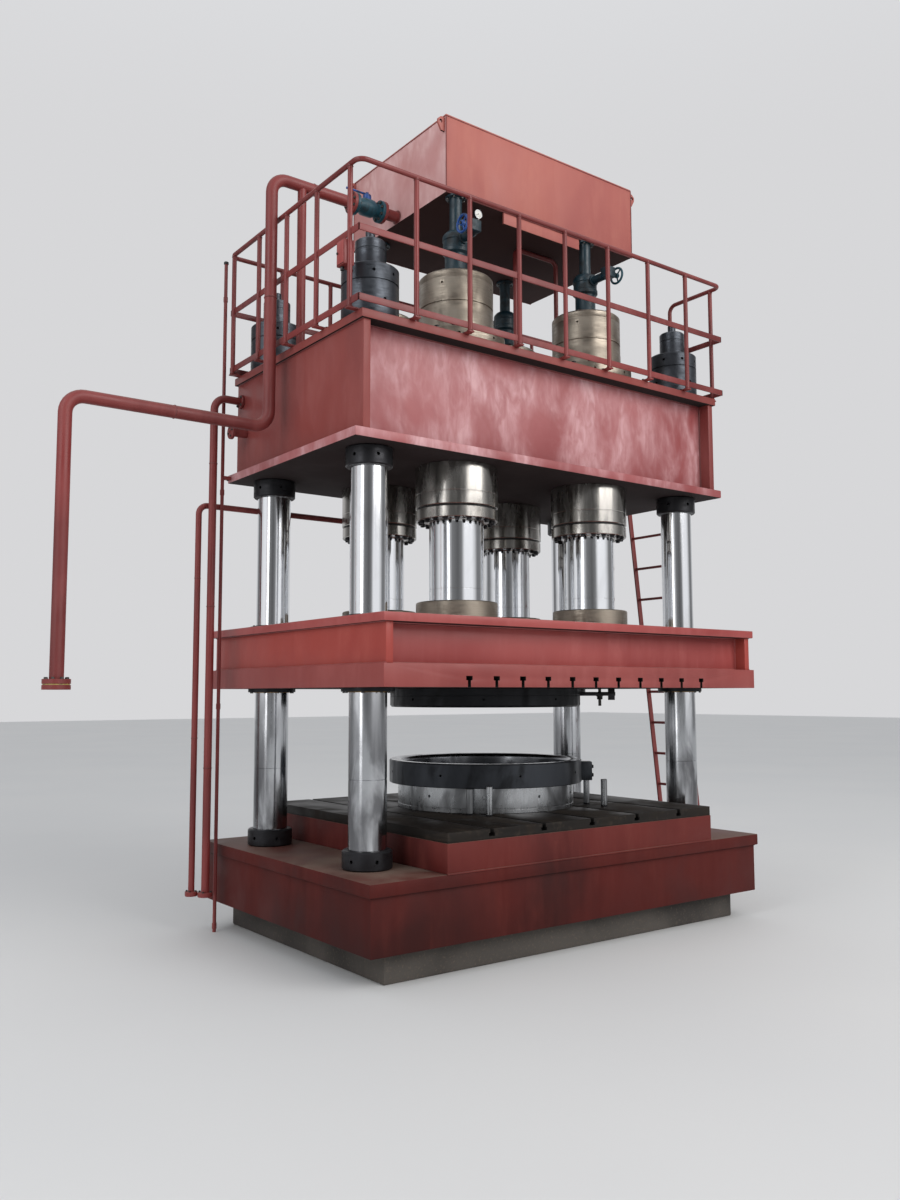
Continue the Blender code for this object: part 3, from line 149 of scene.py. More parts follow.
class Recipe(Nodes):
    """The nodes of one material, whose patterns follow the piece's own coordinates."""

    def __init__(self, name, roughness, metallic=0.0):
        self.material = bpy.data.materials.new(name)
        self.material.use_nodes = True
        super().__init__(self.material.node_tree, "Object")
        self.shader = self.tree.nodes["Principled BSDF"]
        self.shader.inputs["Roughness"].default_value = roughness
        self.shader.inputs["Metallic"].default_value = metallic

    def height_mask(self, low, high, to_low, to_high):
        """One value below a level of the piece, another above a second level."""
        return self.remap(self.split(self.where)["Z"], low, high, to_low, to_high)

    def facing(self, low, high, to_low=0.0, to_high=1.0):
        """A mask from how far a face looks up: -1 is straight down and 1 straight up."""
        normal = self.tree.nodes.new("ShaderNodeNewGeometry").outputs["Normal"]
        return self.remap(self.split(normal)["Z"], low, high, to_low, to_high)

    def finish(self, colour, roughness=None, height=None, depth=0.0005, strength=0.5):
        """Links what varies over the surface to the shader."""
        self.set(self.shader.inputs["Base Color"], colour)
        if roughness is not None:
            self.set(self.shader.inputs["Roughness"], roughness)
        if height is not None:
            bump = self.tree.nodes.new("ShaderNodeBump")
            bump.inputs["Strength"].default_value = strength
            bump.inputs["Distance"].default_value = depth
            self.set(bump.inputs["Height"], height)
            self.set(self.shader.inputs["Normal"], bump.outputs["Normal"])
        return self.material


def brushed_paint(name, base, light, dark, wiped, dusty=0.3, roughness=0.5, underside_shade=0.0, gloss=0.4,
                  smear=0.16, veil=0.0):
    """Hand-laid primer or paint: broad patches, wiped runs, dust above, painted shade below.

    The smaller smear is, the longer the runs are drawn downwards. A veil keeps
    that share of the pale coat between the runs.
    """
    paint = Recipe(name, roughness)
    paint.shader.inputs["Specular IOR Level"].default_value = gloss
    patches = paint.noise(1.1, stretch=(1, 1, 0.8), detail=5, distortion=0.4)
    clouds = paint.noise(3.2, stretch=(1, 1, 0.55), detail=9, distortion=0.5, shift=(3, 1, 2))
    runs = paint.noise(8, stretch=(1.4, 1.4, smear), detail=7, distortion=0.35)
    strokes = paint.noise(15, stretch=(1, 1, 0.45), detail=6, distortion=0.9, shift=(1, 4, 6))
    fine = paint.noise(130, detail=3)
    colour = paint.blend(paint.remap(patches, 0.36, 0.64), dark, base)
    streaks = paint.remap(runs, 0.30, 0.66, veil, 1.0)
    wipe = paint.times(paint.remap(clouds, 0.36, 0.68), streaks)
    wipe = paint.times(wipe, paint.remap(strokes, 0.28, 0.66, 0.45, 1.0))
    colour = paint.blend(paint.times(wipe, wiped), colour, light)
    trails = paint.times(paint.remap(runs, 0.56, 0.76), wiped * 0.3)
    colour = paint.blend(trails, colour, dark)
    settled = paint.times(paint.facing(0.4, 0.9), paint.remap(clouds, 0.3, 0.7, dusty, 1.0))
    colour = paint.blend(paint.times(settled, dusty * 2), colour, DUST)
    sheen = paint.remap(clouds, 0.3, 0.7, roughness - 0.1, roughness + 0.14)
    # Faces that look down are darkened towards near-black as painted shade, and made rough.
    if underside_shade:
        colour = paint.blend(paint.facing(-0.95, -0.5, underside_shade, 0.0), colour, PAINTED_SHADE)
        sheen = paint.maths("MAXIMUM", sheen, paint.facing(-0.95, -0.5, 0.95, 0.0))
    relief = paint.maths("ADD", paint.times(fine, 0.4), paint.noise(9, detail=2))
    return paint.finish(colour, sheen, relief, depth=0.0012, strength=0.35)


def bare_metal(name, base, stain, roughness, grain, stained=0.5, depth=0.0002, metallic=1.0):
    """Turned, ground or polished steel: a directional grain, stains and smudges."""
    metal = Recipe(name, roughness, metallic)
    lines = metal.noise(14, stretch=grain, detail=6)
    smudge = metal.noise(4.5, stretch=(1, 1, 0.5), detail=6, distortion=0.7, shift=(5, 2, 7))
    mark = metal.times(metal.remap(smudge, 0.47, 0.7), stained)
    colour = metal.blend(mark, base, stain)
    shine = metal.remap(lines, 0.25, 0.75, roughness * 0.65, roughness * 1.35)
    shine = metal.maths("ADD", shine, metal.times(mark, 0.22))
    return metal.finish(colour, shine, lines, depth=depth, strength=0.3)


def oily_plate(name, base, worn, dust):
    """A scraped, oily machine table with dried dust."""
    plate = Recipe(name, 0.6, 0.1)
    plate.shader.inputs["Specular IOR Level"].default_value = 0.2
    patches = plate.noise(2.6, detail=8, distortion=0.8)
    scrapes = plate.noise(24, stretch=(1, 0.14, 1), detail=6, distortion=0.4)
    colour = plate.blend(plate.remap(patches, 0.4, 0.66), base, worn)
    colour = plate.blend(plate.times(plate.remap(scrapes, 0.55, 0.72), 0.35), colour, dust)
    shine = plate.remap(patches, 0.35, 0.65, 0.45, 0.8)
    return plate.finish(colour, shine, scrapes, depth=0.0004, strength=0.35)


def chromed_column(name):
    """Hard chrome with ground streaks, oiled and grimy below the working level."""
    chrome = Recipe(name, 0.12, 1.0)
    streaks = chrome.noise(10, stretch=(5, 5, 0.12), detail=7, distortion=0.2)
    smudge = chrome.noise(6, stretch=(1, 1, 0.3), detail=8, distortion=0.8)
    low = chrome.height_mask(0.95, 1.7, 1.0, 0.5)
    low = chrome.times(low, chrome.height_mask(1.5, 2.1, 1.0, 0.0))
    grime = chrome.times(low, chrome.remap(smudge, 0.36, 0.62, 0.25, 0.9))
    haze = chrome.times(chrome.remap(smudge, 0.5, 0.72), 0.3)
    colour = chrome.blend(haze, srgb(226, 228, 231), srgb(176, 176, 174))
    colour = chrome.blend(grime, colour, srgb(92, 92, 95))
    shine = chrome.remap(streaks, 0.3, 0.7, 0.06, 0.17)
    shine = chrome.maths("ADD", shine, chrome.times(grime, 0.1))
    return chrome.finish(colour, shine, streaks, depth=0.00015, strength=0.3)


def enamel(name, base, grime):
    """Cast-iron enamel on valves: pebbled, with oily grime in patches."""
    coat = Recipe(name, 0.42)
    pebble = coat.noise(85, detail=3)
    patches = coat.noise(16, detail=6, distortion=0.6)
    colour = coat.blend(coat.remap(patches, 0.46, 0.7), base, grime)
    return coat.finish(colour, coat.remap(patches, 0.3, 0.7, 0.3, 0.6), pebble, depth=0.0008,
                       strength=0.35)


def cast_ground(name, base, dark, dusty):
    """Concrete with pores and stains."""
    ground = Recipe(name, 0.9)
    stains = ground.noise(1.4, detail=8, distortion=0.5)
    pores = ground.noise(60, detail=6)
    colour = ground.blend(ground.remap(stains, 0.4, 0.65), base, dark)
    colour = ground.blend(ground.remap(pores, 0.5, 0.75, 0, dusty), colour, DUST)
    return ground.finish(colour, ground.remap(pores, 0.3, 0.7, 0.8, 0.95), pores, depth=0.0015,
                         strength=0.4)


def pale_floor(name):
    floor = Recipe(name, 0.75)
    cloud = floor.noise(0.35, detail=4)
    colour = floor.blend(cloud, srgb(205, 206, 207), srgb(214, 214, 213))
    return floor.finish(colour)


DUST = srgb(118, 106, 95)
# Near-black for the painted shade on faces that look down.
PAINTED_SHADE = srgb(15, 13, 13)
# The underside values below set how strongly faces that look down are painted with shade.
CROWN_PRIMER = brushed_paint("crown_primer", srgb(166, 94, 95), srgb(212, 168, 171),
                             srgb(146, 74, 75), wiped=1.0, underside_shade=0.97, smear=0.42, veil=0.4)
SIDE_PRIMER = brushed_paint("side_primer", srgb(138, 63, 58), srgb(158, 92, 88),
                            srgb(122, 54, 51), wiped=0.4, underside_shade=0.97)
SLIDE_PAINT = brushed_paint("slide_paint", srgb(164, 76, 73), srgb(184, 104, 101),
                            srgb(150, 64, 62), wiped=0.45, dusty=0.4, roughness=0.42, underside_shade=0.9)
SLIDE_SIDE = brushed_paint("slide_side_paint", srgb(164, 66, 57), srgb(176, 86, 76),
                           srgb(152, 58, 51), wiped=0.4, dusty=0.4, roughness=0.42, underside_shade=0.9)
TANK_PRIMER = brushed_paint("tank_primer", srgb(172, 98, 88), srgb(186, 118, 104),
                            srgb(160, 86, 80), wiped=0.4, underside_shade=0.92)
# A lighter copy of the tank primer for the end walls: painted light on the tank's sides.
TANK_SIDE_LIT = brushed_paint("tank_side_painted_light", srgb(204, 152, 150), srgb(224, 186, 184),
                          srgb(184, 120, 116), wiped=0.95, underside_shade=0.92, smear=0.8, veil=0.6)
# Dark red paint, darkened further as painted shade for the shadow the base stands in.
SHADED_BASE_PAINT = brushed_paint("base_paint_painted_shade", srgb(82, 26, 22), srgb(96, 42, 37), srgb(56, 20, 18),
                           wiped=0.5, roughness=0.62, underside_shade=0.8, gloss=0.18)
BED_PAINT = brushed_paint("bed_paint", srgb(100, 38, 34), srgb(116, 56, 50), srgb(74, 26, 24),
                          wiped=0.5, roughness=0.58, underside_shade=0.8, gloss=0.2)
SLIDE_TABLE = brushed_paint("slide_table_paint", srgb(146, 68, 64), srgb(164, 92, 88),
                            srgb(132, 58, 55), wiped=0.4, roughness=0.45, underside_shade=0.9)
PIPE_PAINT = brushed_paint("pipe_paint", srgb(130, 54, 52), srgb(158, 88, 85),
                           srgb(104, 42, 41), wiped=0.35, dusty=0.15, roughness=0.42)
WELD_PRIMER = brushed_paint("weld_primer", srgb(120, 56, 54), srgb(146, 84, 82),
                            srgb(98, 42, 42), wiped=0.3, roughness=0.45)
CHROME = chromed_column("column_chrome")
RAM_CHROME = bare_metal("ram_chrome", srgb(232, 234, 237), srgb(176, 177, 178), 0.1,
                        (6, 6, 0.15), stained=0.3)
TURNED = bare_metal("turned_steel", srgb(150, 141, 129), srgb(98, 90, 80), 0.42,
                    (0.8, 0.8, 9), stained=0.8, depth=0.00006)
BARREL = bare_metal("cylinder_barrel", srgb(172, 169, 164), srgb(92, 88, 84), 0.2,
                    (3, 3, 0.5), stained=0.75)
BRIGHT = bare_metal("bright_steel", srgb(172, 174, 176), srgb(78, 78, 80), 0.26,
                    (2, 2, 0.6), stained=0.8)
DIE_STEEL = bare_metal("die_steel", srgb(56, 59, 64), srgb(27, 28, 31), 0.42,
                       (1, 1, 0.4), stained=0.85, depth=0.0004, metallic=0.75)
RING_FACE = bare_metal("ring_face_steel", srgb(126, 128, 132), srgb(60, 61, 64), 0.2,
                       (1, 1, 0.4), stained=0.85, depth=0.0001)
DARK_DIE = bare_metal("upper_die_steel", srgb(30, 31, 34), srgb(16, 16, 18), 0.45,
                      (1, 1, 0.4), stained=0.8, depth=0.0004, metallic=0.6)
BLACK = bare_metal("blackened_steel", srgb(44, 44, 47), srgb(22, 22, 24), 0.4,
                   (1, 1, 4), stained=0.7, depth=0.0003, metallic=0.7)
NUT_STEEL = bare_metal("grey_nut_steel", srgb(72, 76, 82), srgb(40, 42, 46), 0.4,
                       (1, 1, 6), stained=0.7, depth=0.0002, metallic=0.8)
SCREW = bare_metal("screw_steel", srgb(84, 82, 80), srgb(44, 42, 40), 0.38, (1, 1, 1), metallic=0.9)
BRONZE = bare_metal("bush_bronze", srgb(150, 118, 72), srgb(92, 70, 44), 0.34, (1, 1, 6))
TABLE = oily_plate("bed_table", srgb(28, 24, 21), srgb(42, 36, 31), srgb(66, 57, 48))
# Near-black for the walls of the T-slots: painted shade in the slots.
SLOT_SHADE = oily_plate("slot_walls_painted_shade", srgb(26, 24, 23), srgb(38, 34, 31), srgb(54, 48, 43))
TEAL = enamel("valve_teal", srgb(24, 74, 88), srgb(14, 32, 38))
# A darker copy of the valve teal: teal enamel with painted shade for the valves under the tank.
SHADED_TEAL = enamel("prefill_teal_painted_shade", srgb(18, 44, 54), srgb(10, 20, 25))
BLUE = enamel("valve_blue", srgb(28, 78, 150), srgb(18, 40, 82))
GASKET = enamel("gasket_yellow", srgb(176, 160, 92), srgb(120, 108, 66))
RUBBER = enamel("gland_rubber", srgb(26, 26, 27), srgb(18, 18, 18))
DIAL = enamel("dial_white", srgb(226, 226, 220), srgb(206, 205, 196))
CONCRETE = cast_ground("foundation_concrete", srgb(84, 79, 74), srgb(58, 54, 51), 0.4)


# Shapes
def around(count, radius, first=0.0):
    """Points evenly spaced on a circle about Z."""
    angles = [first + math.tau * index / count for index in range(count)]
    return [Vector((radius * math.cos(angle), radius * math.sin(angle), 0)) for angle in angles]


def skin(shape, rings):
    """Faces between each ring of corners and the next one."""
    for near, far in zip(rings, rings[1:]):
        for index in range(len(near)):
            after = (index + 1) % len(near)
            corners = [near[index], near[after], far[after], far[index]]
            shape.faces.new(list(dict.fromkeys(corners)))


def turned(profile, steps=ROUND, closed=False):
    """A shape turned about Z from (radius, height) points. A radius of 0 closes its end."""
    shape = bmesh.new()
    rings = []
    for radius, height in profile:
        if radius:
            rings.append([shape.verts.new(spot + UP * height) for spot in around(steps, radius)])
        else:
            rings.append([shape.verts.new((0, 0, height))] * steps)
    if closed:
        rings.append(rings[0])
    skin(shape, rings)
    return shape


def ring(radius, bore, low, high, eases, steps=ROUND, cut=()):
    """A ring about Z, or a disc where the bore is 0. The eases are those of its upper and
    lower edge, and a groove may be cut round it."""
    top, bottom = eases
    return turned([(bore, high), (radius - top, high), (radius, high - top), *cut,
                   (radius, low + bottom), (radius - bottom, low), (bore, low)],
                  steps, closed=bore > 0)


def collar(radius, bore, low, high, chamfer=0.002, steps=ROUND):
    """A ring with the same chamfer on both outer edges."""
    return ring(radius, bore, low, high, (chamfer, chamfer), steps)


def drum(radius, low, high, chamfer=0.002, steps=ROUND):
    """A solid disc or bar with a chamfer round both ends."""
    return collar(radius, 0, low, high, chamfer, steps)


def groove(radius, level, depth, half, slope):
    """Profile points of a groove whose floor reaches half to each side of its level."""
    return [(radius, level + half + slope), (radius - depth, level + half),
            (radius - depth, level - half), (radius, level - half - slope)]


def soften(shape, width):
    """Bevels every edge that turns sharply."""
    edges = [edge for edge in shape.edges
             if edge.is_manifold and edge.calc_face_angle(0) > SHARP_ANGLE]
    bmesh.ops.bevel(shape, geom=edges, offset=width, segments=2, profile=0.5, affect="EDGES")
    return shape


def block(low, high, bevel=0.003):
    """A plate or block between two corners, with eased edges."""
    low, high = Vector(low), Vector(high)
    shape = bmesh.new()
    bmesh.ops.create_cube(shape, size=1)
    bmesh.ops.scale(shape, vec=high - low, verts=shape.verts)
    bmesh.ops.translate(shape, vec=(low + high) / 2, verts=shape.verts)
    return soften(shape, bevel)


def prism(outline, near, far, bevel=0.002):
    """An outline of (x, z) points carried along Y from near to far."""
    shape = bmesh.new()
    front = [shape.verts.new((x, near, z)) for x, z in outline]
    back = [shape.verts.new((x, far, z)) for x, z in outline]
    shape.faces.new(front)
    shape.faces.new(back)
    skin(shape, [front, back])
    bmesh.ops.recalc_face_normals(shape, faces=shape.faces)
    return soften(shape, bevel)


def bent(corners, radius):
    """Points along straight runs whose corners are arcs of one radius."""
    corners = [Vector(corner) for corner in corners]
    points = [corners[0]]
    for before, corner, after in zip(corners, corners[1:], corners[2:]):
        into = (corner - before).normalized()
        out = (after - corner).normalized()
        bend = into.angle(out)
        start = corner - into * radius * math.tan(bend / 2)
        centre = corner + (out - into).normalized() * radius / math.cos(bend / 2)
        for step in range(BEND_STEPS + 1):
            swing = Matrix.Rotation(bend * step / BEND_STEPS, 3, into.cross(out))
            points.append(centre + swing @ (start - centre))
    points.append(corners[-1])
    return points


def tube(points, radius, sides=SMOOTH_PIPE):
    """A round bar along a line of points. The radius may be a list, one for each point."""
    points = [Vector(point) for point in points]
    radii = radius if isinstance(radius, list) else [radius] * len(points)
    shape = bmesh.new()
    rings = []
    side = None
    for index, point in enumerate(points):
        into = (point - points[max(index - 1, 0)]).normalized()
        out = (points[min(index + 1, len(points) - 1)] - point).normalized()
        along = (into + out).normalized()
        side = along.orthogonal() if side is None else side - along * side.dot(along)
        side.normalize()
        other = along.cross(side)
        rings.append([shape.verts.new(point + side * spot.x + other * spot.y)
                      for spot in around(sides, radii[index])])
    skin(shape, rings)
    shape.faces.new(rings[0])
    shape.faces.new(rings[-1])
    return shape


def mesh_of(shape, name):
    """A mesh in place of the shape, which is freed."""
    mesh = bpy.data.meshes.new(name)
    shape.to_mesh(mesh)
    shape.free()
    return mesh


def take_in(whole, part):
    """Moves one shape into another."""
    mesh = mesh_of(part, "part")
    whole.from_mesh(mesh)
    bpy.data.meshes.remove(mesh)


def joined(shapes):
    """Several shapes in one."""
    whole = bmesh.new()
    for shape in shapes:
        take_in(whole, shape)
    return whole


def show(name, data):
    """A new object in the scene."""
    item = bpy.data.objects.new(name, data)
    bpy.context.scene.collection.objects.link(item)
    return item


def placed(shape, place):
    shape.transform(place)
    return shape


def at(x, y, z):
    return Matrix.Translation((x, y, z))


def up(height):
    return at(0, 0, height)


def turn(degrees):
    """A turn about Z."""
    return Matrix.Rotation(math.radians(degrees), 4, "Z")


def facing(direction, spot):
    """The place at a point that turns +Z to a direction."""
    aim = Vector(direction).to_track_quat("Z", "Y")
    return Matrix.Translation(spot) @ aim.to_matrix().to_4x4()


def drilled(shape, drills):
    """The shape less the drills, which are closed shapes that run into it."""
    helpers = []
    for part in (shape, joined(drills)):
        bmesh.ops.recalc_face_normals(part, faces=part.faces)
        helpers.append(show("helper", mesh_of(part, "helper")))
    blank, drill = helpers
    hole = blank.modifiers.new("hole", "BOOLEAN")
    hole.operation = "DIFFERENCE"
    hole.solver = "EXACT"
    hole.object = drill
    mesh = bpy.data.meshes.new_from_object(
        blank.evaluated_get(bpy.context.evaluated_depsgraph_get()))
    result = bmesh.new()
    result.from_mesh(mesh)
    for helper in helpers:
        bpy.data.objects.remove(helper)
    return result


def radial_holes(count, reach, depth, hole, level, first):
    """Drills that point at the axis, from outside a given radius."""
    return [placed(drum(hole, -depth, depth, 0.0005, 16), facing(spot, spot + UP * level))
            for spot in around(count, reach, first)]


def hex_bolt(size):
    """A bolt head with its washer, seated at z = 0. Size is half the width over corners."""
    head = turned([(0, size * 1.15), (size * 0.78, size * 1.15), (size, size),
                   (size, size * 0.2), (0, size * 0.2)], 6)
    washer = collar(size * 1.3, size * 0.5, 0, size * 0.22, size * 0.05, 18)
    return joined([head, washer])


def cap_screw(size):
    """A round head with a round socket in its top, seated at z = 0."""
    return turned([(0, size * 0.4), (size * 0.5, size * 0.4), (size * 0.5, size), (size * 0.88, size),
                   (size, size * 0.88), (size, 0), (0, 0)], 18)


def levels(node):
    """The lowest and the highest level of a node."""
    low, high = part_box(node)
    return low.z, high.z


def axis_of(node):
    """The place on the floor below a node's middle."""
    low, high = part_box(node)
    return at((low.x + high.x) / 2, (low.y + high.y) / 2, 0)


def corner_nodes(kind):
    """For each corner its name, and its node with its levels and its axis."""
    for corner in CORNERS:
        node = f"{kind}_{corner}"
        yield (corner, node, *levels(node), axis_of(node))


class Piece:
    """One object that gathers shapes. Each is placed from the piece's seat and has the
    piece's finish, or one of its own."""

    def __init__(self, name, finish, seat=Matrix()):
        self.name = name
        self.finish = finish
        self.seat = seat
        self.shape = bmesh.new()
        self.finishes = []

    def _index(self, finish):
        if finish not in self.finishes:
            self.finishes.append(finish)
        return self.finishes.index(finish)

    def add(self, part, finish=None, place=Matrix(), lining=None):
        """Takes a shape in. A lining is the finish of its tagged faces."""
        for face in part.faces:
            look = lining if lining and face.tag else finish or self.finish
            face.material_index = self._index(look)
        bmesh.ops.recalc_face_normals(part, faces=part.faces)
        part.transform(self.seat @ place)
        take_in(self.shape, part)

    def bolts(self, head, size, place, spots, finish=SCREW):
        """A bolt head at each spot. The place turns +Z to where the heads look."""
        for spot in spots:
            self.add(head(size), finish, place @ Matrix.Translation(spot))

    def bolt_ring(self, head, size, place, count, circle, first=0.0, finish=SCREW):
        """Bolt heads evenly spaced on a circle at z = 0 of the place."""
        self.bolts(head, size, place, around(count, circle, first), finish)

    def flange(self, place, radius, bore, thick, bolting, steps=40, finish=None):
        """A pipe flange whose back is at z = 0 of the place, with its bolts: how many they
        are, their circle, their size and the first one's angle."""
        self.add(collar(radius, bore, 0, thick, 0.002, steps), finish, place)
        count, circle, size, first = bolting
        self.bolt_ring(hex_bolt, size, place @ up(thick), count, circle, first)

    def bead(self, start, end, size, finish=None):
        """A weld bead of uneven width along a straight joint."""
        start, end = Vector(start), Vector(end)
        count = max(2, int((end - start).length / BEAD_STEP))
        points = [start.lerp(end, index / count) for index in range(count + 1)]
        widths = [size * random.uniform(0.82, 1.12) for _ in points]
        self.add(tube(points, widths, 8), finish)

    def ride(self, slot, *nodes, body="frame"):
        """Sets the object up on its body, in place of the nodes that it stands for."""
        mesh = mesh_of(self.shape, self.name)
        for finish in self.finishes:
            mesh.materials.append(finish)
        mesh.shade_smooth()
        mesh.set_sharp_from_angle(angle=SHARP_ANGLE)
        piece = show(self.name, mesh)
        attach(piece, body)
        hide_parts(*nodes)


# Foundation, base and bed
def build_foundation():
    piece = Piece("foundation_block", CONCRETE)
    piece.add(block(*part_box("foundation"), 0.012))
    piece.ride("concrete_grey", "foundation")


def build_base():
    low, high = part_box("base")
    plate_low = high.z - 0.075
    inset = Vector((0.02, 0.02, 0))
    near, far = low + inset, high - inset
    # The housing's colour is dark red paint with painted shade in it.
    piece = Piece("base_housing", SHADED_BASE_PAINT)
    piece.add(block((low.x, low.y, plate_low), high, 0.005))
    piece.add(block(near, (far.x, far.y, plate_low + SUNK), 0.005))
    for y in (near.y, far.y):
        piece.bead((near.x, y, plate_low), (far.x, y, plate_low), 0.007)
    for x in (near.x, far.x):
        piece.bead((x, near.y, plate_low), (x, far.y, plate_low), 0.007)
    piece.ride("dark_red_paint", "base")


def slot_points(centre, face, inward, neck, neck_depth, head, head_depth):
    """The outline of one T-slot, from one side of its mouth to the other."""
    shoulder = face + inward * neck_depth
    floor = shoulder + inward * head_depth
    half = [(neck / 2, face), (neck / 2, shoulder), (head / 2, shoulder), (head / 2, floor)]
    left = [(centre - across, level) for across, level in half]
    right = [(centre + across, level) for across, level in reversed(half)]
    return left + right


def slotted_plate(low, high, face, pitch, reach, slot):
    """A plate with T-slots along Y in its low or high face, the middle one at x = 0 and as
    many as reach says to each side. The slot walls are tagged."""
    other = low.z if face == high.z else high.z
    inward = 1 if face == low.z else -1
    outline = [(low.x, other), (low.x, face)]
    for index in range(-reach, reach + 1):
        outline += slot_points(pitch * index, face, inward, *slot)
    outline += [(high.x, face), (high.x, other)]
    plate = prism(outline, low.y, high.y, 0.0015)
    skin = Vector((0.01, 0, 0.0005))
    least, most = low + skin, high - skin
    for wall in plate.faces:
        middle = wall.calc_center_median()
        inside = least.x < middle.x < most.x and least.z < middle.z < most.z
        wall.tag = inside and abs(wall.normal.y) < 0.5
    return plate


def build_bed():
    low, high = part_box("bed_body")
    body = Piece("bed_box", BED_PAINT)
    body.add(block(low, high, 0.004))
    for y in (low.y * 0.999, high.y * 0.999):
        body.bead((low.x, y, low.z), (high.x, y, low.z), 0.006)
    body.ride("red_paint", "bed_body")
    low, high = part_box("bed_slot_plate")
    plate = Piece("bed_table", TABLE)
    slot = (0.028, 0.024, 0.046, 0.020)
    # The slot walls are lined near-black as painted shade.
    plate.add(slotted_plate(low, high, high.z, 0.41, 2, slot), lining=SLOT_SHADE)
    plate.ride("dark_steel", "bed_slot_plate")


# Columns and nuts
def build_columns():
    shaft, end, stub, seam = 0.115, 0.095, 0.03, 1.10075
    for corner, node, low, high, seat in corner_nodes("column"):
        thread_top, end_top = levels(f"upper_crown_nut_{corner}")[1] + 0.01, high - 0.07
        piece = Piece(f"chromed_column_{corner}", CHROME, seat)
        piece.add(turned([
            (0, thread_top), (shaft - 0.002, thread_top), (shaft, thread_top - 0.002),
            *groove(shaft, seam, 0.0015, 0.00075, 0.0015), (shaft, low), (0, low)]))
        piece.add(turned([
            (0, high), (stub - 0.005, high), (stub, high - 0.005), (stub, end_top + 0.004),
            (stub + 0.006, end_top), (end - 0.008, end_top), (end, end_top - 0.008),
            *groove(end, end_top - 0.066, 0.003, 0.003, 0.003),
            (end, thread_top - 0.001), (0, thread_top - 0.001)]), NUT_STEEL)
        piece.ride("polished_steel", node)


def build_nuts():
    """Round nuts with cross holes. The upper ones have a split groove and a second row."""
    bore, ease, deep = 0.1153, 0.008, 0.022
    kinds = {
        "base_nut": (BLACK, 0.15, 6, 0.011, 0),
        "lower_crown_nut": (BLACK, 0.145, 6, 0.011, 0),
        "upper_crown_nut": (NUT_STEEL, 0.18, 8, 0.010, 0.234),
    }
    for kind, (finish, radius, holes, hole, split) in kinds.items():
        for _, node, low, high, seat in corner_nodes(kind):
            middle, cut = (low + split + high) / 2, []
            drills = radial_holes(holes, radius, deep, hole, middle, 0.35)
            if split:
                cut = groove(radius, low + split, 0.006, 0.004, 0.002)
                drills += radial_holes(holes, radius, deep, hole, low + split / 2, 0.75)
            piece = Piece(f"round_nut_{node}", finish, seat)
            nut = ring(radius, bore, low, high, (ease, ease), cut=cut)
            piece.add(drilled(nut, drills))
            piece.ride("black_steel", node)


# Crown and slide
def add_welded_box(piece, side, web_y, low, high, upright_low, side_look, beads, bead_finish=None):
    """Two webs between two end plates, with weld beads along their joints."""
    side_x, side_y, thick = side
    side_finish, ease = side_look
    piece.add(block((-side_x + SUNK, -web_y, low), (side_x - SUNK, web_y, high)))
    for end in (-1, 1):
        ends = sorted((end * side_x, end * (side_x - thick)))
        piece.add(block((ends[0], -side_y, low), (ends[1], side_y, high), ease), side_finish)
    inner_x = side_x - thick
    joints = (low + SUNK, high - SUNK)
    for y in (-web_y, web_y):
        for z in joints:
            piece.bead((-inner_x, y, z), (inner_x, y, z), beads[0], bead_finish)
        for x in (-inner_x, inner_x):
            piece.bead((x, y, upright_low), (x, y, joints[1]), beads[0], bead_finish)
    for x in (-side_x, side_x):
        for z in joints:
            piece.bead((x, -side_y, z), (x, side_y, z), beads[1], bead_finish)


def build_crown():
    low, high, deep = CROWN_LOW.z, CROWN_HIGH.z, CROWN_HIGH.y
    bottom_high, top_low = low + 0.057, high - 0.054
    bottom_x, top_x, side_x = 1.641, 1.60, 1.58
    piece = Piece("crown_housing", CROWN_PRIMER)
    piece.add(block((-bottom_x, -deep, low), (bottom_x, deep, bottom_high), 0.005))
    piece.add(block((-top_x, -deep, top_low), (top_x, deep, high), 0.004), SIDE_PRIMER)
    add_welded_box(piece, (side_x, deep - 0.016, 0.05), deep - 0.106, bottom_high - SUNK,
                   top_low + SUNK, bottom_high, (SIDE_PRIMER, 0.004), (0.008, 0.006), WELD_PRIMER)
    level, y, end = low + 0.334, 0.70, -side_x - 0.12
    piece.add(tube([(-side_x, y, level), (end, y, level)], 0.03), PIPE_PAINT)
    piece.flange(facing(LEFT, (end + 0.016, y, level)), 0.052, 0.012, 0.02,
                 (4, 0.032, 0.00676, 0.3), finish=PIPE_PAINT)
    piece.ride("red_primer", "crown")


def build_slide():
    low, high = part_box("slide_body")
    plate_low = high.z - 0.052
    piece = Piece("slide_housing", SLIDE_PAINT)
    piece.add(block((low.x, low.y, plate_low), high, 0.005))
    add_welded_box(piece, (1.59, high.y - 0.02, 0.048), high.y - 0.108, low.z,
                   plate_low + SUNK, low.z, (SLIDE_SIDE, 0.003), (0.007, 0.005))
    piece.ride("red_paint", "slide_body", body="slide")
    low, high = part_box("slide_slot_plate")
    plate = Piece("slide_table", SLIDE_TABLE)
    slot = (0.022, 0.040, 0.046, 0.025)
    # The slot walls are lined near-black as painted shade.
    plate.add(slotted_plate(low, high, low.z, 0.205, 5, slot), lining=SLOT_SHADE)
    plate.ride("red_paint", "slide_slot_plate", body="slide")


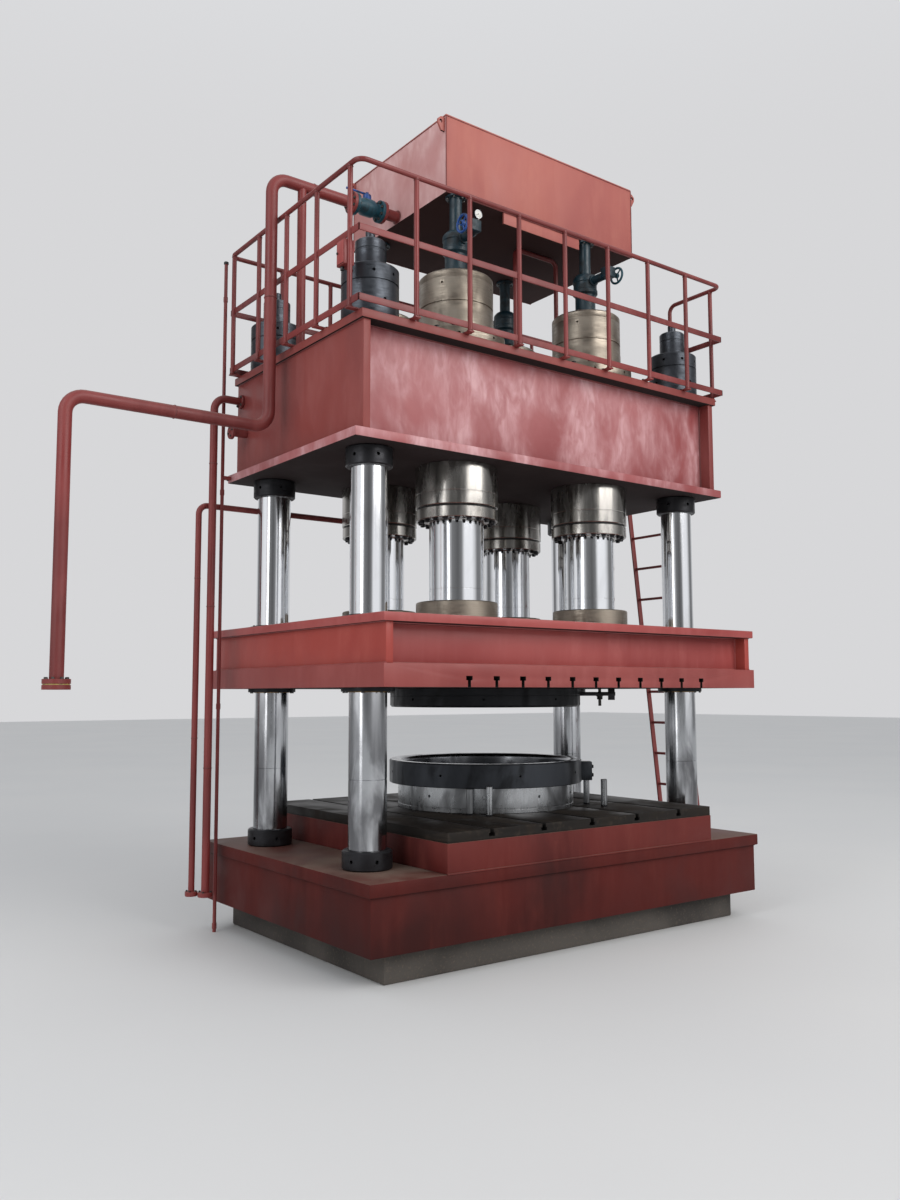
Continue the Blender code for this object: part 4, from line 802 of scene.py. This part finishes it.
# Main cylinders, rams and guide bushes
def build_cylinders():
    head, foot, foot_high = 0.252, 0.33, DECK + 0.104
    ram, body, gland = 0.1825, 0.275, 0.272
    for corner, node, low, high, seat in corner_nodes("main_cylinder"):
        seam = high - 0.22
        piece = Piece(f"cylinder_{corner}", BARREL, seat)
        upper = turned([
            (0, high), (head - 0.012, high), (head, high - 0.012),
            *groove(head, high - 0.055, 0.0012, 0.003, 0.002),
            *groove(head, seam, 0.006, 0.004, 0.002),
            (head, seam - 0.07), (head + 0.002, seam - 0.073), (head + 0.002, foot_high + 0.02),
            (head + 0.012, foot_high), (foot - 0.006, foot_high), (foot, foot_high - 0.006),
            (foot, DECK + 0.003), (foot - 0.003, DECK), (0, DECK)], CYLINDER_STEPS)
        drills = radial_holes(8, foot, 0.02, 0.009, DECK + 0.055, 0.2)
        drills += radial_holes(4, head, 0.02, 0.008, high - 0.09, 0.55)
        piece.add(drilled(upper, drills), TURNED)
        piece.bolt_ring(cap_screw, 0.017, up(foot_high), 16, 0.298, 0.1, BLACK)
        piece.bolt_ring(hex_bolt, 0.014, up(high), 12, 0.205, finish=BLACK)
        body_high, body_low = low + 0.361, low + 0.085
        gland_high = body_low - 0.012
        piece.add(ring(body, ram, body_low, body_high, (0.003, 0.004), CYLINDER_STEPS,
                       groove(body, body_low + 0.086, 0.0015, 0.002, 0.002)))
        piece.add(collar(gland - 0.012, ram, body_low - 0.013, body_low + 0.001, 0.001), RUBBER)
        piece.add(turned([
            (ram, gland_high), (gland - 0.003, gland_high), (gland, gland_high - 0.003),
            (gland, low + 0.004), (gland - 0.004, low), (ram + 0.01, low), (ram, low + 0.006)],
            CYLINDER_STEPS, closed=True))
        piece.bolt_ring(hex_bolt, 0.016, facing(DOWN, (0, 0, low)), 20, 0.238, finish=BLACK)
        piece.ride("machined_steel", node)


def build_rams():
    shaft, flange, sunk_screw = 0.182, 0.27, 0.03
    for corner, node, low, high, seat in corner_nodes("ram"):
        rim_high = low + 0.14
        piece = Piece(f"ram_rod_{corner}", RAM_CHROME, seat)
        piece.add(turned([
            (0, high), (shaft, high), *groove(shaft, rim_high + 0.085, 0.0008, 0.001, 0.001),
            (shaft, rim_high - 0.001), (0, rim_high - 0.001)], CYLINDER_STEPS))
        rim = ring(flange, shaft - 0.01, low, rim_high, (0.006, 0.002), CYLINDER_STEPS,
                   groove(flange, low + 0.025, 0.002, 0.003, 0.002))
        spots = [spot + UP * rim_high for spot in around(12, 0.227, 0.13)]
        drills = [placed(drum(0.019, -sunk_screw, 0.01, 0.0005, 20), Matrix.Translation(spot))
                  for spot in spots]
        piece.add(drilled(rim, drills), TURNED)
        piece.bolts(cap_screw, 0.0155, up(-sunk_screw), spots, BLACK)
        piece.ride("polished_steel", node, body="slide")


def build_bushes():
    top = levels("slide_body")[1]
    bore = 0.1155
    for corner, node, low, _, seat in corner_nodes("guide_bush"):
        piece = Piece(f"bush_and_wiper_{corner}", BLACK, seat)
        piece.add(collar(0.162, bore, low, low + 0.0237))
        piece.add(collar(0.124, bore, low - 0.004, low + 0.004, 0.001), BRONZE)
        piece.bolt_ring(cap_screw, 0.008, facing(DOWN, (0, 0, low)), 8, 0.149)
        piece.add(collar(0.158, bore, top, top + 0.012, 0.003))
        piece.add(collar(0.124, bore, top, top + 0.02, 0.003), RUBBER)
        piece.bolt_ring(cap_screw, 0.007, up(top + 0.012), 8, 0.143)
        piece.ride("bronze", node, body="slide")


# Dies
def build_upper_die():
    high = levels("upper_die")[1]
    low, radius, ease, recess = high - 0.129, 0.687, 0.012, 0.006
    piece = Piece("upper_die_disc", DARK_DIE)
    disc = turned([
        (0, high), (radius - 0.003, high), (radius, high - 0.003),
        *groove(radius, high - 0.049, 0.0015, 0.002, 0.002), (radius, low + ease),
        (radius - ease, low), (0.5, low), (0.495, low + recess), (0, low + recess)], DIE_STEPS)
    piece.add(drilled(disc, radial_holes(8, radius, 0.02, 0.009, high - 0.075, 0.1)))
    swing = turn(-42)
    half, outer = 0.03, radius + 0.25
    strap_high = high + SEAT_GAP - 0.026
    strap_low = strap_high - 0.028
    piece.add(block((radius - 0.01, -half, strap_low), (outer, half, strap_high)), BLACK, swing)
    piece.add(block((outer - 0.05, -half + 0.004, strap_low - 0.03),
                    (outer - 0.004, half - 0.004, high), 0.002), BLACK, swing)
    bolt = at(0.615, -0.553, 0)
    hole, washer_low = 0.0112, strap_low - 0.005
    piece.add(drum(0.011, strap_low - 0.072, high + 0.052, 0.002, 20), SCREW, bolt)
    piece.add(drum(0.019, high + 0.0425, high + 0.058, 0.002, 4), SCREW, bolt)
    piece.add(collar(0.024, hole, washer_low, strap_low, 0.001, 24), SCREW, bolt)
    piece.add(collar(0.021, hole, washer_low - 0.021, washer_low, 0.003, 6), BLACK, bolt)
    piece.ride("dark_steel", "upper_die", body="slide")


def build_support_ring():
    low, high = levels("support_ring")
    radius, bore = 0.628, 0.54
    blank = ring(radius, bore, low, high, (0.004, 0.003), DIE_STEPS,
                 groove(radius, low + 0.03, 0.0015, 0.003, 0.002))
    holes = radial_holes(10, radius, 0.025, 0.010, (low + high) / 2 + 0.02, 0.25)
    piece = Piece("lower_ring_bright", BRIGHT)
    piece.add(drilled(blank, holes))
    piece.ride("bright_steel", "support_ring")


def build_die_ring():
    low, high = levels("die_ring")
    radius, bore, draw = 0.69, 0.60, 0.03
    edge = [(bore + draw - draw * math.cos(angle), high - draw + draw * math.sin(angle))
            for angle in (math.pi / 2 * step / 8 for step in range(9))]
    blank = turned([(radius - 0.008, high), (radius, high - 0.008), (radius, low + 0.004),
                    (radius - 0.004, low), (bore, low), *edge], DIE_STEPS, closed=True)
    blank = drilled(blank, radial_holes(8, radius, 0.02, 0.009, (low + high) / 2, 0.45))
    for face in blank.faces:
        middle = face.calc_center_median()
        face.tag = middle.xy.length < radius - 0.01 and middle.z > low + 0.002
    piece = Piece("die_ring_dark", DIE_STEEL)
    piece.add(blank, lining=RING_FACE)
    swing, half, reach = turn(-37.2), 0.05, radius + 0.075
    piece.add(block((radius - 0.02, -half, low + 0.004), (reach, half, low + 0.135), 0.004),
              place=swing)
    spots = [Vector((side, level, 0)) for level in (0.04, 0.10) for side in (-0.025, 0.025)]
    piece.bolts(cap_screw, 0.012, swing @ facing(RIGHT, (reach, 0, low)), spots, BLACK)
    piece.ride("dark_steel", "die_ring")


def build_posts():
    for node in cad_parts:
        if node.startswith("post_"):
            low, high = levels(node)
            piece = Piece(f"turned_{node}", BRIGHT, axis_of(node))
            piece.add(drum(0.022, low, high, 0.003, 32))
            piece.add(collar(0.0225, 0.015, low, low + 0.012, 0.002, 32), BLACK)
            piece.ride("bright_steel", node)


# Oil tank and its stand
def lifting_lug(face, outward, y, thick, top):
    """A lug on an end wall of the tank, with an eye for the hook."""
    root, reach, drop = -0.004, 0.055, -0.10
    shape = [(root, 0), (reach * 0.55, 0), (reach, -0.022), (reach, -0.05), (reach * 0.5, drop),
             (root, drop)]
    outline = [(face + outward * out, top + rise) for out, rise in shape]
    eye = placed(drum(0.013, -0.03, 0.03, 0.001, 20),
                 facing(REAR, (face + outward * 0.031, y + thick / 2, top - 0.035)))
    return drilled(prism(outline, y, y + thick), [eye])


def build_tank():
    high, floor = levels("oil_tank")[1], TANK_FLOOR
    left, right, front, rear = -0.711, 1.095, -0.498, 0.70
    lid_low, skin = high - 0.012, 0.001
    piece = Piece("tank_shell", TANK_PRIMER)
    shell = block((left + skin, front + skin, floor), (right - skin, rear - skin, lid_low), 0.004)
    # The end walls take the lighter copy of the primer as painted light.
    for face in shell.faces:
        face.tag = abs(face.normal.x) > 0.9
    piece.add(shell, lining=TANK_SIDE_LIT)
    piece.add(block((left, front, lid_low), (right, rear, high)))
    for x in (left * 0.9985, right * 0.9985):
        for y in (front * 0.998, rear * 0.998):
            piece.bead((x, y, floor), (x, y, lid_low), 0.004, WELD_PRIMER)
    for y in (front, rear):
        for level, inset, size in ((lid_low, 0.999, 0.003), (floor, 0.998, 0.004)):
            piece.bead((left, y * inset, level), (right, y * inset, level), size, WELD_PRIMER)
    for x in (left * 0.999, right * 0.999):
        piece.bead((x, front, lid_low), (x, rear, lid_low), 0.003, WELD_PRIMER)
    skirt_y, thick = front + 0.004, 0.016
    piece.add(block((-0.201, skirt_y, floor - 0.083), (0.53, skirt_y + thick, floor + SUNK), 0.002))
    for y in (front + thick, rear - 2 * thick):
        for face, outward in ((left, -1), (right, 1)):
            piece.add(lifting_lug(face, outward, y, thick, high - 0.02))
    y, level, end, root = NOZZLE_Y, NOZZLE_LEVEL, left - 0.14, 0.004
    piece.add(tube([(left + root, y, level), (end + root, y, level)], 0.04), PIPE_PAINT)
    piece.add(collar(0.05, 0.038, 0, 0.008, 0.003, 32), WELD_PRIMER, facing(LEFT, (left, y, level)))
    piece.flange(facing(RIGHT, (end, y, level)), 0.078, 0.02, 0.022, RETURN_BOLTS,
                 finish=PIPE_PAINT)
    piece.ride("red_primer", "oil_tank")


def build_portal():
    low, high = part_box("tank_portal")
    radius, y, half, thick = 0.0175, -0.11, 0.04, 0.008
    left, right, beam = low.x + radius, high.x - radius, high.z - radius
    piece = Piece("tank_stand_portal", PIPE_PAINT)
    route = [(left, y, low.z), (left, y, beam), (right, y, beam), (right, y, low.z)]
    piece.add(tube(bent(route, 0.05), radius, SMOOTH_RAIL))
    spots = [Vector((x, y, 0)) for x in (-0.028, 0.028) for y in (-0.028, 0.028)]
    for x in (left, right):
        foot = at(x, y, low.z)
        piece.add(block((-half, -half, 0), (half, half, thick), 0.001), place=foot)
        piece.bolts(hex_bolt, 0.008, foot @ up(thick), spots)
    piece.ride("red_paint", "tank_portal")


# Prefill valves, gauge and handwheels
def build_prefill_valves():
    top = TANK_FLOOR - SEAT_GAP
    for corner, _, _, cylinder_top, seat in corner_nodes("main_cylinder"):
        side, face = CORNERS[corner]
        foot = cylinder_top + SEAT_GAP
        neck_top, body_top = foot + 0.195, foot + 0.315
        shoulder = body_top + 0.03
        # The valve bodies take the darker teal as painted shade.
        piece = Piece(f"prefill_valve_body_{corner}", SHADED_TEAL, seat)
        piece.add(turned([
            (0, top), (0.066, top), (0.07, top - 0.004), (0.07, top - 0.016),
            (0.066, top - 0.018), (0.044, top - 0.018), (0.042, top - 0.024),
            (0.042, shoulder + 0.01), (0.05, shoulder), (0.07, shoulder - 0.004),
            (0.088, body_top + 0.006), (0.092, body_top - 0.004), (0.092, body_top - 0.03),
            (0.087, body_top - 0.036), (0.087, neck_top + 0.034), (0.092, neck_top + 0.028),
            (0.092, neck_top + 0.004), (0.088, neck_top), (0.075, neck_top - 0.01),
            (0.075, foot + 0.034), (0.08, foot + 0.026), (0.112, foot + 0.024),
            (0.115, foot + 0.021), (0.115, foot), (0, foot)], 48))
        piece.bolt_ring(hex_bolt, 0.010, up(foot + 0.024), 8, 0.098, 0.2)
        piece.bolt_ring(hex_bolt, 0.0075, facing(DOWN, (0, 0, top - 0.018)), 6, 0.057, 0.3)
        piece.bolt_ring(hex_bolt, 0.008, up(body_top - 0.004), 8, 0.081, 0.1)
        add_gearbox(piece, side, face, foot + 0.305)
        if corner == "front_left":
            add_gauge(piece, foot)
        piece.ride("teal_paint", f"prefill_valve_{corner}")
        build_handwheel(corner)


def add_gearbox(piece, side, face, level):
    """An arm with a small gearbox and the shaft that carries the handwheel."""
    half, cap = 0.04, 0.010
    corner = Vector((half, half, half))
    box = Vector((side * 0.02, face * 0.22, level))
    arm = Vector((0, 0, level - half / 2))
    piece.add(tube([arm, arm + Vector((0, face * 0.19, 0))], 0.03, 20))
    piece.add(collar(0.042, 0.02, 0, 0.014, 0.002, 24),
              place=facing((0, face, 0), arm + Vector((0, face * 0.085, 0))))
    piece.add(block(box - corner, box + corner, 0.008))
    cover = facing((side, 0, 0), box + Vector((side * (half - SUNK), 0, 0)))
    piece.add(collar(0.032, 0.009, 0, cap, 0.002, 28), place=cover)
    piece.bolt_ring(cap_screw, 0.0045, cover @ up(cap), 4, 0.025, 0.8)
    piece.add(tube([box, (side * 0.129, box.y, level)], 0.0088, 16), SCREW)


def add_gauge(piece, foot):
    """A round gauge on a bent stem, with tick marks and a pointer on its dial."""
    x, stem, level = 0.19, foot + 0.455, foot + 0.535
    radius, half = 0.032, 0.012
    piece.add(tube(bent([(0, 0, stem), (x, 0, stem), (x, 0, level)], 0.016), 0.0075, 12), SCREW)
    piece.add(drum(0.0125, -0.008, 0.008, 0.002, 6), SCREW, at(x, 0, level - radius - 0.006))
    front = facing(FRONT, (x, 0, level))
    piece.add(drum(radius, -half, half - 0.002, 0.003, 40), BLACK, front)
    piece.add(collar(radius, radius - 0.004, half - 0.003, half, 0.001, 40), BRIGHT, front)
    piece.add(drum(radius - 0.004, half - 0.004, half - 0.0015, 0.0005, 40), DIAL, front)
    for index in range(11):
        tick = block((-0.0006, radius - 0.0105, half - 0.0016), (0.0006, radius - 0.006, half - 0.001),
                     0.0001)
        piece.add(tick, BLACK, front @ turn(27 * index - 135))
    pointer = block((-0.001, -0.006, half - 0.0014), (0.001, radius - 0.010, half - 0.0006), 0.0002)
    piece.add(pointer, BLACK, front @ turn(118))
    piece.add(drum(0.003, half - 0.002, half, 0.0005, 16), BLACK, front)


def build_handwheel(corner):
    node = f"handwheel_{corner}"
    low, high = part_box(node)
    radius, bar = 0.065, 0.0085
    path = radius - bar
    finish = BLUE if corner == "front_left" else TEAL
    piece = Piece(f"spoked_{node}", finish, facing(RIGHT, (low + high) / 2))
    rim = around(48, path)
    piece.add(tube([*rim, rim[0]], bar, 14))
    piece.add(collar(0.018, 0.0095, -0.013, 0.013, 0.002, 32))
    for spoke in around(3, 1, math.pi / 12):
        points = [spoke * reach for reach in (0.014, 0.03, 0.045, path)]
        piece.add(tube(points, [0.0068, 0.0055, 0.0052, 0.0062], 12))
    piece.ride("blue_paint", node, body=node)


# Railing and ladder
def build_railing():
    side_x, front, rear, right_end = 1.648, -0.90, 0.85, -0.39
    top, radius, thick, half = CROWN_HIGH.z + 0.892, 0.016, 0.008, 0.021
    along = [0.412 * index for index in range(-3, 4)]
    sideways = [0.40 * index for index in range(-2, 3)]
    piece = Piece("deck_railing", PIPE_PAINT)
    route = [(side_x, right_end, DECK), (side_x, right_end, top), (side_x, front, top),
             (-side_x, front, top), (-side_x, rear, top), (side_x, rear, top), (side_x, rear, DECK)]
    piece.add(tube(bent(route, 0.06), radius, SMOOTH_RAIL))
    posts = [(x, front, 0, 1) for x in along] + [(x, rear, 0, -1) for x in along]
    posts += [(-side_x, y, 1, 0) for y in sideways] + [(side_x, sideways[0], -1, 0)]
    weld_low = top - radius - 0.006
    for x, y, _, _ in posts:
        piece.add(tube([(x, y, DECK + 0.003), (x, y, top)], radius, SMOOTH_RAIL))
        piece.add(collar(radius + 0.003, radius - 0.002, weld_low, weld_low + 0.009, 0.003, 16),
                  WELD_PRIMER, at(x, y, 0))
    for post in posts + [(side_x, right_end, -1, 0), (side_x, rear, -1, 0)]:
        add_rail_foot(piece, *post)
    bars = [((-side_x, front), (side_x, front + thick)), ((-side_x, rear - thick), (side_x, rear)),
            ((-side_x, front), (-side_x + thick, rear)), ((side_x - thick, front), (side_x, right_end))]
    for level in (CROWN_HIGH.z + 0.471, CROWN_HIGH.z + 0.048):
        for near, far in bars:
            piece.add(block((*near, level - half), (*far, level + half), 0.0015))
    add_junction_box(piece, -side_x)
    piece.ride("red_paint", "railing")


def add_rail_foot(piece, x, y, inward_x, inward_y):
    """A flat bar from the post onto the deck, with its bolt and a weld round the post."""
    half, top, edge = 0.02, DECK + 0.010, 0.05
    if inward_x:
        inner = -inward_x * (1.60 - edge)
        ends = sorted((x - inward_x * half, inner))
        low, high = (ends[0], y - half, DECK), (ends[1], y + half, top)
        bolt = at(inner - inward_x * half, y, top)
    else:
        inner = -inward_y * (CROWN_HIGH.y - edge)
        ends = sorted((y - inward_y * half, inner))
        low, high = (x - half, ends[0], DECK), (x + half, ends[1], top)
        bolt = at(x, inner - inward_y * half, top)
    piece.add(block(low, high, 0.0015))
    piece.add(hex_bolt(0.010), SCREW, bolt)
    piece.add(collar(0.021, 0.014, top, top + 0.006, 0.004, 16), WELD_PRIMER, at(x, y, 0))


def add_junction_box(piece, rail_x):
    """A painted steel box on the railing, with its door, lock and cable gland."""
    size, rim, proud = Vector((0.07, 0.09, 0.155)), 0.008, 0.004
    low = Vector((rail_x - size.x / 2, -0.795, DECK + 0.2712))
    high = low + size
    piece.add(block(low, high, 0.004))
    piece.add(block((low.x - proud, low.y + rim, low.z + rim),
                    (low.x + proud, high.y - rim, high.z - rim), 0.002), SLIDE_PAINT)
    lock = facing(LEFT, (low.x - proud, high.y - 0.02, low.z + 0.078))
    piece.add(drum(0.008, 0, 0.006, 0.001, 20), SCREW, lock)
    gland = facing(DOWN, (rail_x - 0.012, low.y + 0.06, low.z))
    piece.add(drum(0.014, 0, 0.022, 0.002, 6), RUBBER, gland)


def build_ladder():
    top, foot_x, top_x, crown_x = CROWN_HIGH.z, 2.162, 1.667, 1.6003
    half_y, half, thick = 0.20, 0.0225, 0.012
    lean = (foot_x - top_x) / top
    outline = [(foot_x - half, 0), (foot_x + half, 0), (top_x + half, top), (top_x - half, top)]
    piece = Piece("deck_ladder", PIPE_PAINT)
    for y in (-half_y, half_y):
        piece.add(prism(outline, y - thick / 2, y + thick / 2, 0.0015))
        piece.add(block((crown_x, y - thick, top - 0.04), (top_x, y + thick, top - 0.004), 0.0015))
        piece.add(block((foot_x - 0.04, y - 0.03, 0), (foot_x + 0.04, y + 0.03, 0.008), 0.001))
    for index in range(14):
        level = 0.316 + 0.2605 * index
        x = foot_x - lean * level
        piece.add(tube([(x, -half_y, level), (x, half_y, level)], 0.011, 16))
        for y, outward in ((-half_y, -1), (half_y, 1)):
            for face in (outward, -outward):
                piece.add(collar(0.015, 0.009, 0, 0.004, 0.003, 16), WELD_PRIMER,
                          facing((0, face, 0), (x, y + face * thick / 2, level)))
    piece.ride("red_paint", "ladder")


# Pipework
def build_return_pipe():
    low = levels("return_pipe")[0]
    y, level, run = NOZZLE_Y, NOZZLE_LEVEL, 3.3299
    start, stand, side_x, outer = -1.0816, -1.485, -1.71, -3.00
    piece = Piece("return_pipework", PIPE_PAINT)
    route = [(start, y, level), (side_x, y, level), (side_x, y, run), (outer, y, run),
             (outer, y, low + 0.02)]
    piece.add(tube(bent(route, 0.11), 0.04, 32))
    piece.flange(facing(LEFT, (start, y, level)), 0.078, 0.03, 0.022, RETURN_BOLTS)
    end = at(outer, y, low)
    piece.add(collar(0.078, 0.036, 0, 0.027, 0.002, 40), place=end)
    piece.flange(end @ up(0.033), 0.078, 0.036, 0.027, RETURN_BOLTS)
    piece.add(collar(0.074, 0.036, 0.026, 0.034, 0.001, 40), GASKET, end)
    for spot, direction in (((-1.40, y, level), LEFT), ((side_x, y, 4.20), UP), ((-2.35, y, run), LEFT)):
        piece.add(collar(0.0435, 0.037, -0.006, 0.006, 0.004, 32), WELD_PRIMER,
                  facing(direction, spot))
    piece.add(tube([(stand, y, DECK), (stand, y, level)], 0.03))
    piece.flange(at(stand, y, DECK), 0.055, 0.02, 0.012, (4, 0.043, 0.007, 0.8), 32)
    piece.ride("red_paint", "return_pipe")


def build_shutoff_valve():
    high = levels("shutoff_valve")[1]
    y, level, left, length = NOZZLE_Y, NOZZLE_LEVEL, -1.0813, 0.23
    flange = 0.022
    piece = Piece("tank_shutoff_valve", BLUE)
    half = [(0, 0), (0.076, 0), (0.078, 0.002), (0.078, 0.02), (0.076, flange), (0.05, flange),
            (0.045, 0.03), (0.047, length * 0.22), (0.06, length * 0.32), (0.062, length * 0.40)]
    mirrored = [(radius, length - along) for radius, along in half]
    seat = facing(RIGHT, (left, y, level))
    piece.add(turned(mirrored + half[::-1], 48), TEAL, seat)
    piece.add(collar(0.075, 0.03, -0.0035, 0.001, 0.0005, 40), GASKET, seat)
    count, circle, size, first = RETURN_BOLTS
    for flip, shift in ((UP, flange), (DOWN, length - flange)):
        piece.bolt_ring(hex_bolt, size, seat @ facing(flip, (0, 0, shift)), count, circle, first)
    middle, lever = left + length / 2, high - 0.012
    piece.add(turned([(0, high), (0.012, high), (0.012, lever), (0.024, high - 0.016),
                      (0.03, high - 0.022), (0.03, level + 0.055), (0.034, level + 0.05),
                      (0, level + 0.04)], 32), place=at(middle, y, 0))
    piece.add(tube([(middle - reach, y, lever) for reach in (0, 0.06, 0.17)],
                   [0.0085, 0.007, 0.0085], 14))
    piece.ride("blue_paint", "shutoff_valve")


def add_couplings(piece, spot, radius, bore, lows):
    for low in lows:
        piece.add(collar(radius, bore, low, low + 0.01, 0.003, 28), WELD_PRIMER, spot)


def build_feed_pipe():
    low = levels("feed_pipe")[0]
    x, y, level, wall = -1.79, 0.78, 3.6799, -1.5803
    bolting = (4, 0.039, 0.008, 0.8)
    piece = Piece("feed_pipework", PIPE_PAINT)
    piece.add(tube(bent([(wall, y, level), (x, y, level), (x, y, low + 0.01)], 0.09), 0.027))
    piece.flange(at(x, y, low), 0.05, 0.02, 0.03, bolting, 36)
    piece.flange(facing(LEFT, (wall, y, level)), 0.05, 0.02, 0.02, bolting, 36)
    add_couplings(piece, at(x, y, 0), 0.0295, 0.025, (1.1, 2.2, 3.2))
    piece.ride("red_paint", "feed_pipe")


def build_lift_pipe():
    low = levels("lift_pipe")[0]
    x, y, level, port_x, port_y = -1.853, 0.865, 2.9199, -0.61, 0.7453
    route = [(x, y, low + 0.01), (x, y, level), (port_x, y, level), (port_x, port_y, level)]
    piece = Piece("lift_pipework", PIPE_PAINT)
    piece.add(tube(bent(route, 0.065), 0.021))
    piece.flange(at(x, y, low), 0.042, 0.016, 0.03, (4, 0.032, 0.007, 0.8), 32)
    piece.add(collar(0.032, 0.018, 0, 0.022, 0.002, 6), SCREW, facing(REAR, (port_x, port_y, level)))
    add_couplings(piece, at(x, y, 0), 0.023, 0.02, (1.3, 2.4))
    piece.ride("red_paint", "lift_pipe")


def build_conduit():
    low, high = levels("conduit")
    y, x = 0.825, -1.70
    half, clip_end = 0.0125, -1.6413
    clip_low = 3.0959 + 0.0285 - half
    piece = Piece("cable_conduit", PIPE_PAINT, at(x, y, 0))
    piece.add(tube([(0, 0, low), (0, 0, high)], half, 18))
    for level in (0.02, 1.5, 3.0, 4.40):
        piece.add(collar(0.0155, 0.011, level, level + 0.04, 0.002, 18))
    piece.add(collar(0.017, 0.006, high - 0.02, high, 0.003, 18), RUBBER)
    piece.add(block((0, -0.015, clip_low), (clip_end - x, 0.015, clip_low + 2 * half), 0.0015))
    piece.add(cap_screw(0.006), SCREW, facing(DOWN, (0.04, 0, clip_low)))
    piece.ride("red_paint", "conduit")


# Floor, light and camera
def build_floor():
    mesh = bpy.data.meshes.new("floor")
    reach = 60
    mesh.from_pydata([(-reach, -reach, 0), (reach, -reach, 0), (reach, reach, 0), (-reach, reach, 0)],
                     [], [(0, 1, 2, 3)])
    mesh.materials.append(pale_floor("pale_floor"))
    floor = show("floor", mesh)


def build_surroundings():
    """A soft room: pale above and behind, darker bands at the sides for the chrome to mirror."""
    world = bpy.data.worlds.new("studio")
    bpy.context.scene.world = world
    world.use_nodes = True
    room = Nodes(world.node_tree, "Generated")
    direction = room.split(room.where)
    bearing = room.maths("ARCTAN2", direction["Y"], direction["X"])
    bands = room.tree.nodes.new("ShaderNodeValToRGB")
    points = bands.color_ramp.elements
    while len(points) < len(ROOM_TONES):
        points.new(0.5)
    for point, (position, tone) in zip(points, ROOM_TONES):
        point.position = position
        point.color = (tone, tone, tone * 1.02, 1)
    room.set(bands.inputs["Fac"], room.remap(bearing, -math.pi, math.pi, even=True))
    tone = room.blend(room.remap(direction["Z"], 0.45, 0.8), bands.outputs["Color"], ROOM_TOP)
    background = room.tree.nodes["Background"]
    background.inputs["Strength"].default_value = 0.85
    room.set(background.inputs["Color"], tone)


def area_light(name, spot, aim, width, height, power, tint=(1, 1, 1)):
    data = bpy.data.lights.new(name, "AREA")
    data.shape = "RECTANGLE"
    data.size, data.size_y = width, height
    data.energy = power
    data.color = tint
    light = show(name, data)
    light.location = spot
    light.rotation_mode = "QUATERNION"
    light.rotation_quaternion = (Vector(aim) - Vector(spot)).to_track_quat("-Z", "Y")


def build_lights():
    area_light("key", (2.5, -11, 9), (0, 0, 3), 10, 8, 900, (1, 0.98, 0.96))
    area_light("fill", (-11, -2, 9), (0, 0, 4), 6, 6, 220, (0.96, 0.98, 1))
    area_light("strip", (-8.3, -2.7, 3.6), (-1, -0.5, 2.2), 1.8, 6, 60)


def build_camera():
    """The camera that was solved from the photograph, at a standing eye's height."""
    data = bpy.data.cameras.new("photo_camera")
    data.sensor_fit = "VERTICAL"
    data.sensor_height = 36
    data.lens = 30.897
    data.clip_end = 200
    camera = show("photo_camera", data)
    camera.location = (-4.701, -5.868, 1.60)
    camera.rotation_euler = [math.radians(angle) for angle in (95.23, 0.12, -36.77)]
    bpy.context.scene.camera = camera


build_foundation()
build_base()
build_bed()
build_columns()
build_nuts()
build_crown()
build_cylinders()
build_rams()
build_slide()
build_bushes()
build_upper_die()
build_support_ring()
build_die_ring()
build_posts()
build_tank()
build_portal()
build_prefill_valves()
build_railing()
build_ladder()
build_return_pipe()
build_shutoff_valve()
build_feed_pipe()
build_lift_pipe()
build_conduit()
build_floor()
build_surroundings()
build_lights()
build_camera()
bpy.context.scene.view_settings.view_transform = "Standard"
